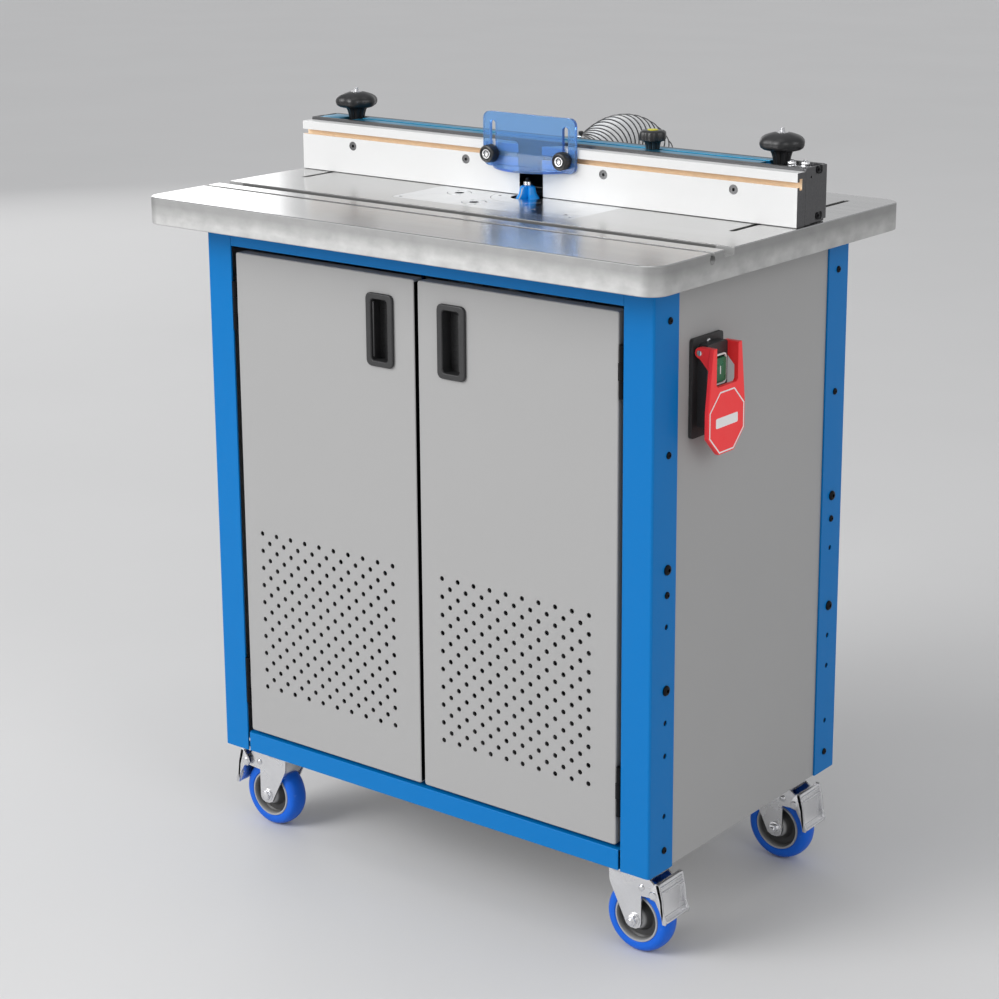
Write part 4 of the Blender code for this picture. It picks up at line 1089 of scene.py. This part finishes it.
def fence_face(side, side_name):
    """Laminated board with a tee groove; the groove shows bare board and the outer end is dark."""
    x_in, x_out = side * face_low.x, side * face_high.x
    front, back = face_low.y, face_high.y
    low, high = face_low.z, face_high.z
    neck, deep, wide, soft = front + 0.005, front + 0.011, 0.007, 0.0006
    outline = [(front + soft, low), (back - soft, low), (back, low + soft), (back, high - soft),
        (back - soft, high), (front + soft, high), (front, high - soft), (front, GROOVE_Z + GROOVE_HALF),
        (neck, GROOVE_Z + GROOVE_HALF), (neck, GROOVE_Z + wide), (deep, GROOVE_Z + wide),
        (deep, GROOVE_Z - wide), (neck, GROOVE_Z - wide), (neck, GROOVE_Z - GROOVE_HALF),
        (front, GROOVE_Z - GROOVE_HALF), (front, low + soft)]
    work = prism(outline, "X", x_in, x_out)
    slope = side * (back - front)
    bevel = [(x_in - slope, front), (x_in, front), (x_in + slope, back), (x_in + slope, back + 0.01),
        (x_in - slope, back + 0.01)]
    work = carve(work, prism(bevel, "Z", low - 0.01, high + 0.01))
    screws = []
    for x in FACE_SCREWS[side_name]:
        centre = (x, FACE_SCREW_Z)
        sink = turned(mm([(6.8, -1), (6.4, 0.2), (3, 3.6), (3, 10)], front), "Y", centre, 32)
        work = carve(work, sink)
        head = turned(mm([(2.8, 9), (2.8, 3.4), (6.1, 0.6), (6.1, 0.3), (4.6, 0.2)], front), "Y", centre, 32)
        screws.append(carve(head, prism(circle(0.0023, 6, centre), "Y", front - 0.002, front + 0.0034)))
    work.normal_update()
    for face in work.faces:
        middle = face.calc_center_median()
        in_groove = front + 0.0002 < middle.y < deep + 0.0005 and abs(middle.z - GROOVE_Z) < wide + 0.0005
        if abs(face.normal.x) > 0.6:
            face.material_index = 2
        elif in_groove:
            face.material_index = 1
    body = "face_" + side_name
    node = "fence_face_" + side_name
    piece(node + "_shape", body, work, ["melamine", "board", "dark"], (node,))
    piece("face_screws_" + side_name, body, gather(screws), "screw_grey")


def lobed(levels, lobes, depth, count, centre, power):
    """A lobed body of levels (radius, height, share of lobe)."""
    rings = []
    for radius, height, share in levels:
        ring = []
        for i in range(count):
            turn = 2 * pi * i / count
            swell = (abs(cos(lobes * turn / 2)) ** power) * 2 - 1
            r = radius * (1 + depth * share * swell)
            ring.append((centre[0] + r * cos(turn), centre[1] + r * sin(turn), height))
        rings.append(ring)
    return loft(rings)


def clamp_knob(side_name, x):
    node = "clamp_knob_" + side_name
    low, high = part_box(node)
    spot = (x, CLAMP_Y)
    base = DECK + 0.0003
    head = mm([(12, 999, 0), (18.5, 999.8, 0.5), (24, 1001.4, 0.9), (27.4, 1003.8, 1), (28.7, 1006.8, 1),
        (29, 1009.6, 1), (28.4, 1012.6, 1), (26.2, 1015.4, 1), (22.5, 1017.8, 0.9), (17.2, 1020, 0.5),
        (12, 1021.6, 0.1), (8.5, 1021.9, 0)])
    top = lobed(head, 6, 0.048, 120, spot, 1.6)
    stem = [(0.0088, base, 0), (0.0092, base + 0.0008, 0.5), (0.0094, 0.985, 1), (0.0104, 0.991, 1),
        (0.0116, 0.996, 1), (0.0132, 0.9992, 1), (0.015, 1.0004, 1)]
    ribs = lobed(stem, 8, 0.15, 120, spot, 0.8)
    stud = [(0.0032, 1.0222)]
    for i in range(3):
        stud += [(0.0032, 1.0228 + i * 0.0012), (0.0028, 1.0234 + i * 0.0012)]
    stud += mm([(3, -0.6), (2.4, 0)], high.z)
    steel = [turned(mm([(7.8, 1021.7), (7.8, 1022.4), (7, 1022.7)]), "Z", spot, 40),
        turned(stud, "Z", spot, 24), rod(0.0036, low.z + 0.008, base + 0.002, "Z", spot, 24),
        hexagon(0.015, "Z", spot, low.z, low.z + 0.0083, 0.0006)]
    piece(node + "_shape", "clamp_" + side_name, gather([top, ribs], steel), ["knob", "zinc"],
        (node,))


def track_knob():
    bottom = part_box("track_knob")[0].z
    base = track_high.z + 0.0003
    x, y = spot = (TRACK_KNOB_X, TRACK_Y)
    head = mm([(10, 10.2, 0), (15.2, 10.8, 0.8), (17, 11.8, 1), (17.3, 13.5, 1), (17.2, 20, 1), (16.5, 22, 1),
        (14.2, 23.5, 1), (11, 24.2, 0.5), (8, 24.2, 0)], base)
    top = lobed(head, 6, 0.07, 96, spot, 1.4)
    stem = mm([(8.2, 0, 1), (8.4, 1.2, 1), (8.6, 4.5, 1), (9.8, 8.5, 1), (12.8, 11.2, 1)], base)
    ribs = lobed(stem, 8, 0.12, 96, spot, 0.6)
    cap = turned(mm([(7.2, 24), (7.2, 24.6), (6.2, 25.2), (3.6, 25.5)], base), "Z", spot, 40)
    tee = block((x - 0.0055, y - 0.0055, bottom), (x + 0.0055, y + 0.0055, bottom + 0.0024))
    neck = rod(0.003, bottom + 0.001, base + 0.001, "Z", spot, 20)
    piece("track_knob_shape", "track_knob", gather([top, ribs], cap, [tee, neck]), ["knob", "yellow", "zinc"],
        ("track_knob",))


def fence():
    refine("fence_body", "dark", 0.0003)
    refine("fence_track", "track", 0.0003)
    for side, side_name in SIDES:
        fence_face(side, side_name)
        x = side * cap_high.x
        spots = [(cap_high.y - 0.019, cap_high.z - 0.005, 0.0052),
            (cap_high.y - 0.018, cap_low.z + 0.0082, 0.005)]
        tools = [rod(0.0016, x - 0.004, x + 0.004, "X", (cap_low.y + 0.013, cap_high.z - 0.012), 20)]
        rear_foot = [(cap_low.y + 0.006, cap_low.z - 0.002), (cap_high.y + 0.002, cap_low.z - 0.002),
            (cap_high.y + 0.002, cap_low.z + 0.0034), (cap_low.y + 0.014, cap_low.z + 0.001)]
        tools.append(prism(rear_foot, "X", x - side * 0.02, x + side * 0.004))
        heads = []
        for y, z, tall in spots:
            pocket = rounded(0.0085, tall, 0.0035, 5, (y, z))
            tools.append(prism(pocket, "X", x - side * 0.0022, x + side * 0.004))
            heads.append(socket_screw(tall - 0.0008, 0.0016, 0.002, "X", (y, z), x - side * 0.0021, side))
        refine("fence_end_cap_" + side_name, "dark", 0.0004, 2, tools)
        piece("end_cap_screws_" + side_name, "fence", gather(heads), "steel_black")
        clamp_knob(side_name, side * CLAMP_X)
        start, end = side * (CLAMP_X + 0.0125), side * (CLAMP_X + 0.0465)
        if side < 0:
            strip = block((end, track_low.y, DECK + 0.0002), (start, track_high.y, track_high.z), 0.0006)
            piece("track_end_left", "fence", strip, "track")
            continue
        parts = [block((start, 0.05, DECK + 0.0002), (end, 0.0835, DECK + 0.0045), 0.0006)]
        for spot in ((CLAMP_X + 0.0215, 0.064), (CLAMP_X + 0.0375, 0.07)):
            parts += [rod(0.0068, DECK + 0.0044, DECK + 0.0056, "Z", spot, 28),
                hexagon(0.0105, "Z", spot, DECK + 0.0056, DECK + 0.0108, 0.0006),
                turned(mm([(3, 10), (3, 12.8), (2.2, 13.4)], DECK), "Z", spot, 20)]
        piece("clamp_bracket_right", "fence", gather(parts), "zinc")
    track_knob()

    middle = (0.0, PORT_Z)
    back = port_high.y
    lip = [(PORT_BORE, back)] + mm([(31.2, 0), (31.8, -0.8), (31.8, -3), (30.8, -4)], back)
    lip += mm([(31.2, 6), (33.5, 3.2), (33.5, 0)], port_low.y) + [(PORT_BORE, port_low.y)]
    pipe = turned(lip, "Y", middle, 72, closed=True)
    plate = prism(rounded(0.04, 0.0345, 0.006, 6, middle), "Y", port_low.y, port_low.y + 0.0032)
    plate = eased(carve(plate, rod(0.03, port_low.y - 0.01, back, "Y", middle, 72)), 0.0005)
    screws = [socket_screw(0.0034, 0.0018, 0.0014, "Y", (a, PORT_Z + b), port_low.y + 0.0032, 1)
        for a in (-0.0335, 0.0335) for b in (-0.0275, 0.0275)]
    piece("dust_port_shape", "fence", gather([pipe, plate], screws), ["black", "steel_black"],
        ("dust_port",))


def guard():
    refine("guard_shield", "acrylic", 0.0006, 3)
    for side, side_name in SIDES:
        node = "guard_knob_" + side_name
        low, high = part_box(node)
        centre = (side * GUARD_KNOB_X, GROOVE_Z)
        front, rear = low.y, SHIELD_FRONT - 0.0003
        grip = mm([(6.2, 2.6), (7.4, 0.8), (9.2, 0), (10.6, 0.4), (11.4, 1.4), (11.6, 2.6)], front)
        grip += mm([(11.6, -1.4), (11, -0.4), (10, 0)], rear)
        rib = mm([(0.3, 1.8), (0.6, 2.6)], front) + mm([(0.6, -1.6), (0.3, -0.8)], rear)
        body = [turned(grip, "Y", centre, 72)]
        body += [turned(rib, "Y", spot, 8) for spot in circle(0.0114, 30, centre)]
        ring = turned(mm([(4.4, 2.4), (6.4, 2.4), (6.6, 0.8), (6.2, 0.1), (4.9, 0.1), (4.4, 0.8)], front),
            "Y", centre, 56, closed=True)
        bolt = turned(mm([(3.3, 3), (3.3, 0.8), (2.7, 0.2), (1.2, 0.1)], front), "Y", centre, 36)
        stud = rod(0.0028, rear - 0.001, high.y - 0.003, "Y", centre, 20)
        foot = prism(circle(0.0058, 6, centre, 0.5), "Y", high.y - 0.0034, high.y)
        work = gather(body, [ring, bolt, stud, foot])
        piece(node + "_shape", node, work, ["knob", "steel"], (node,))


camera()
hose()
cuffs()
studio()
table()
cutter()
router()
cabinet()
doors()
switch()
casters()
fence()
guard()
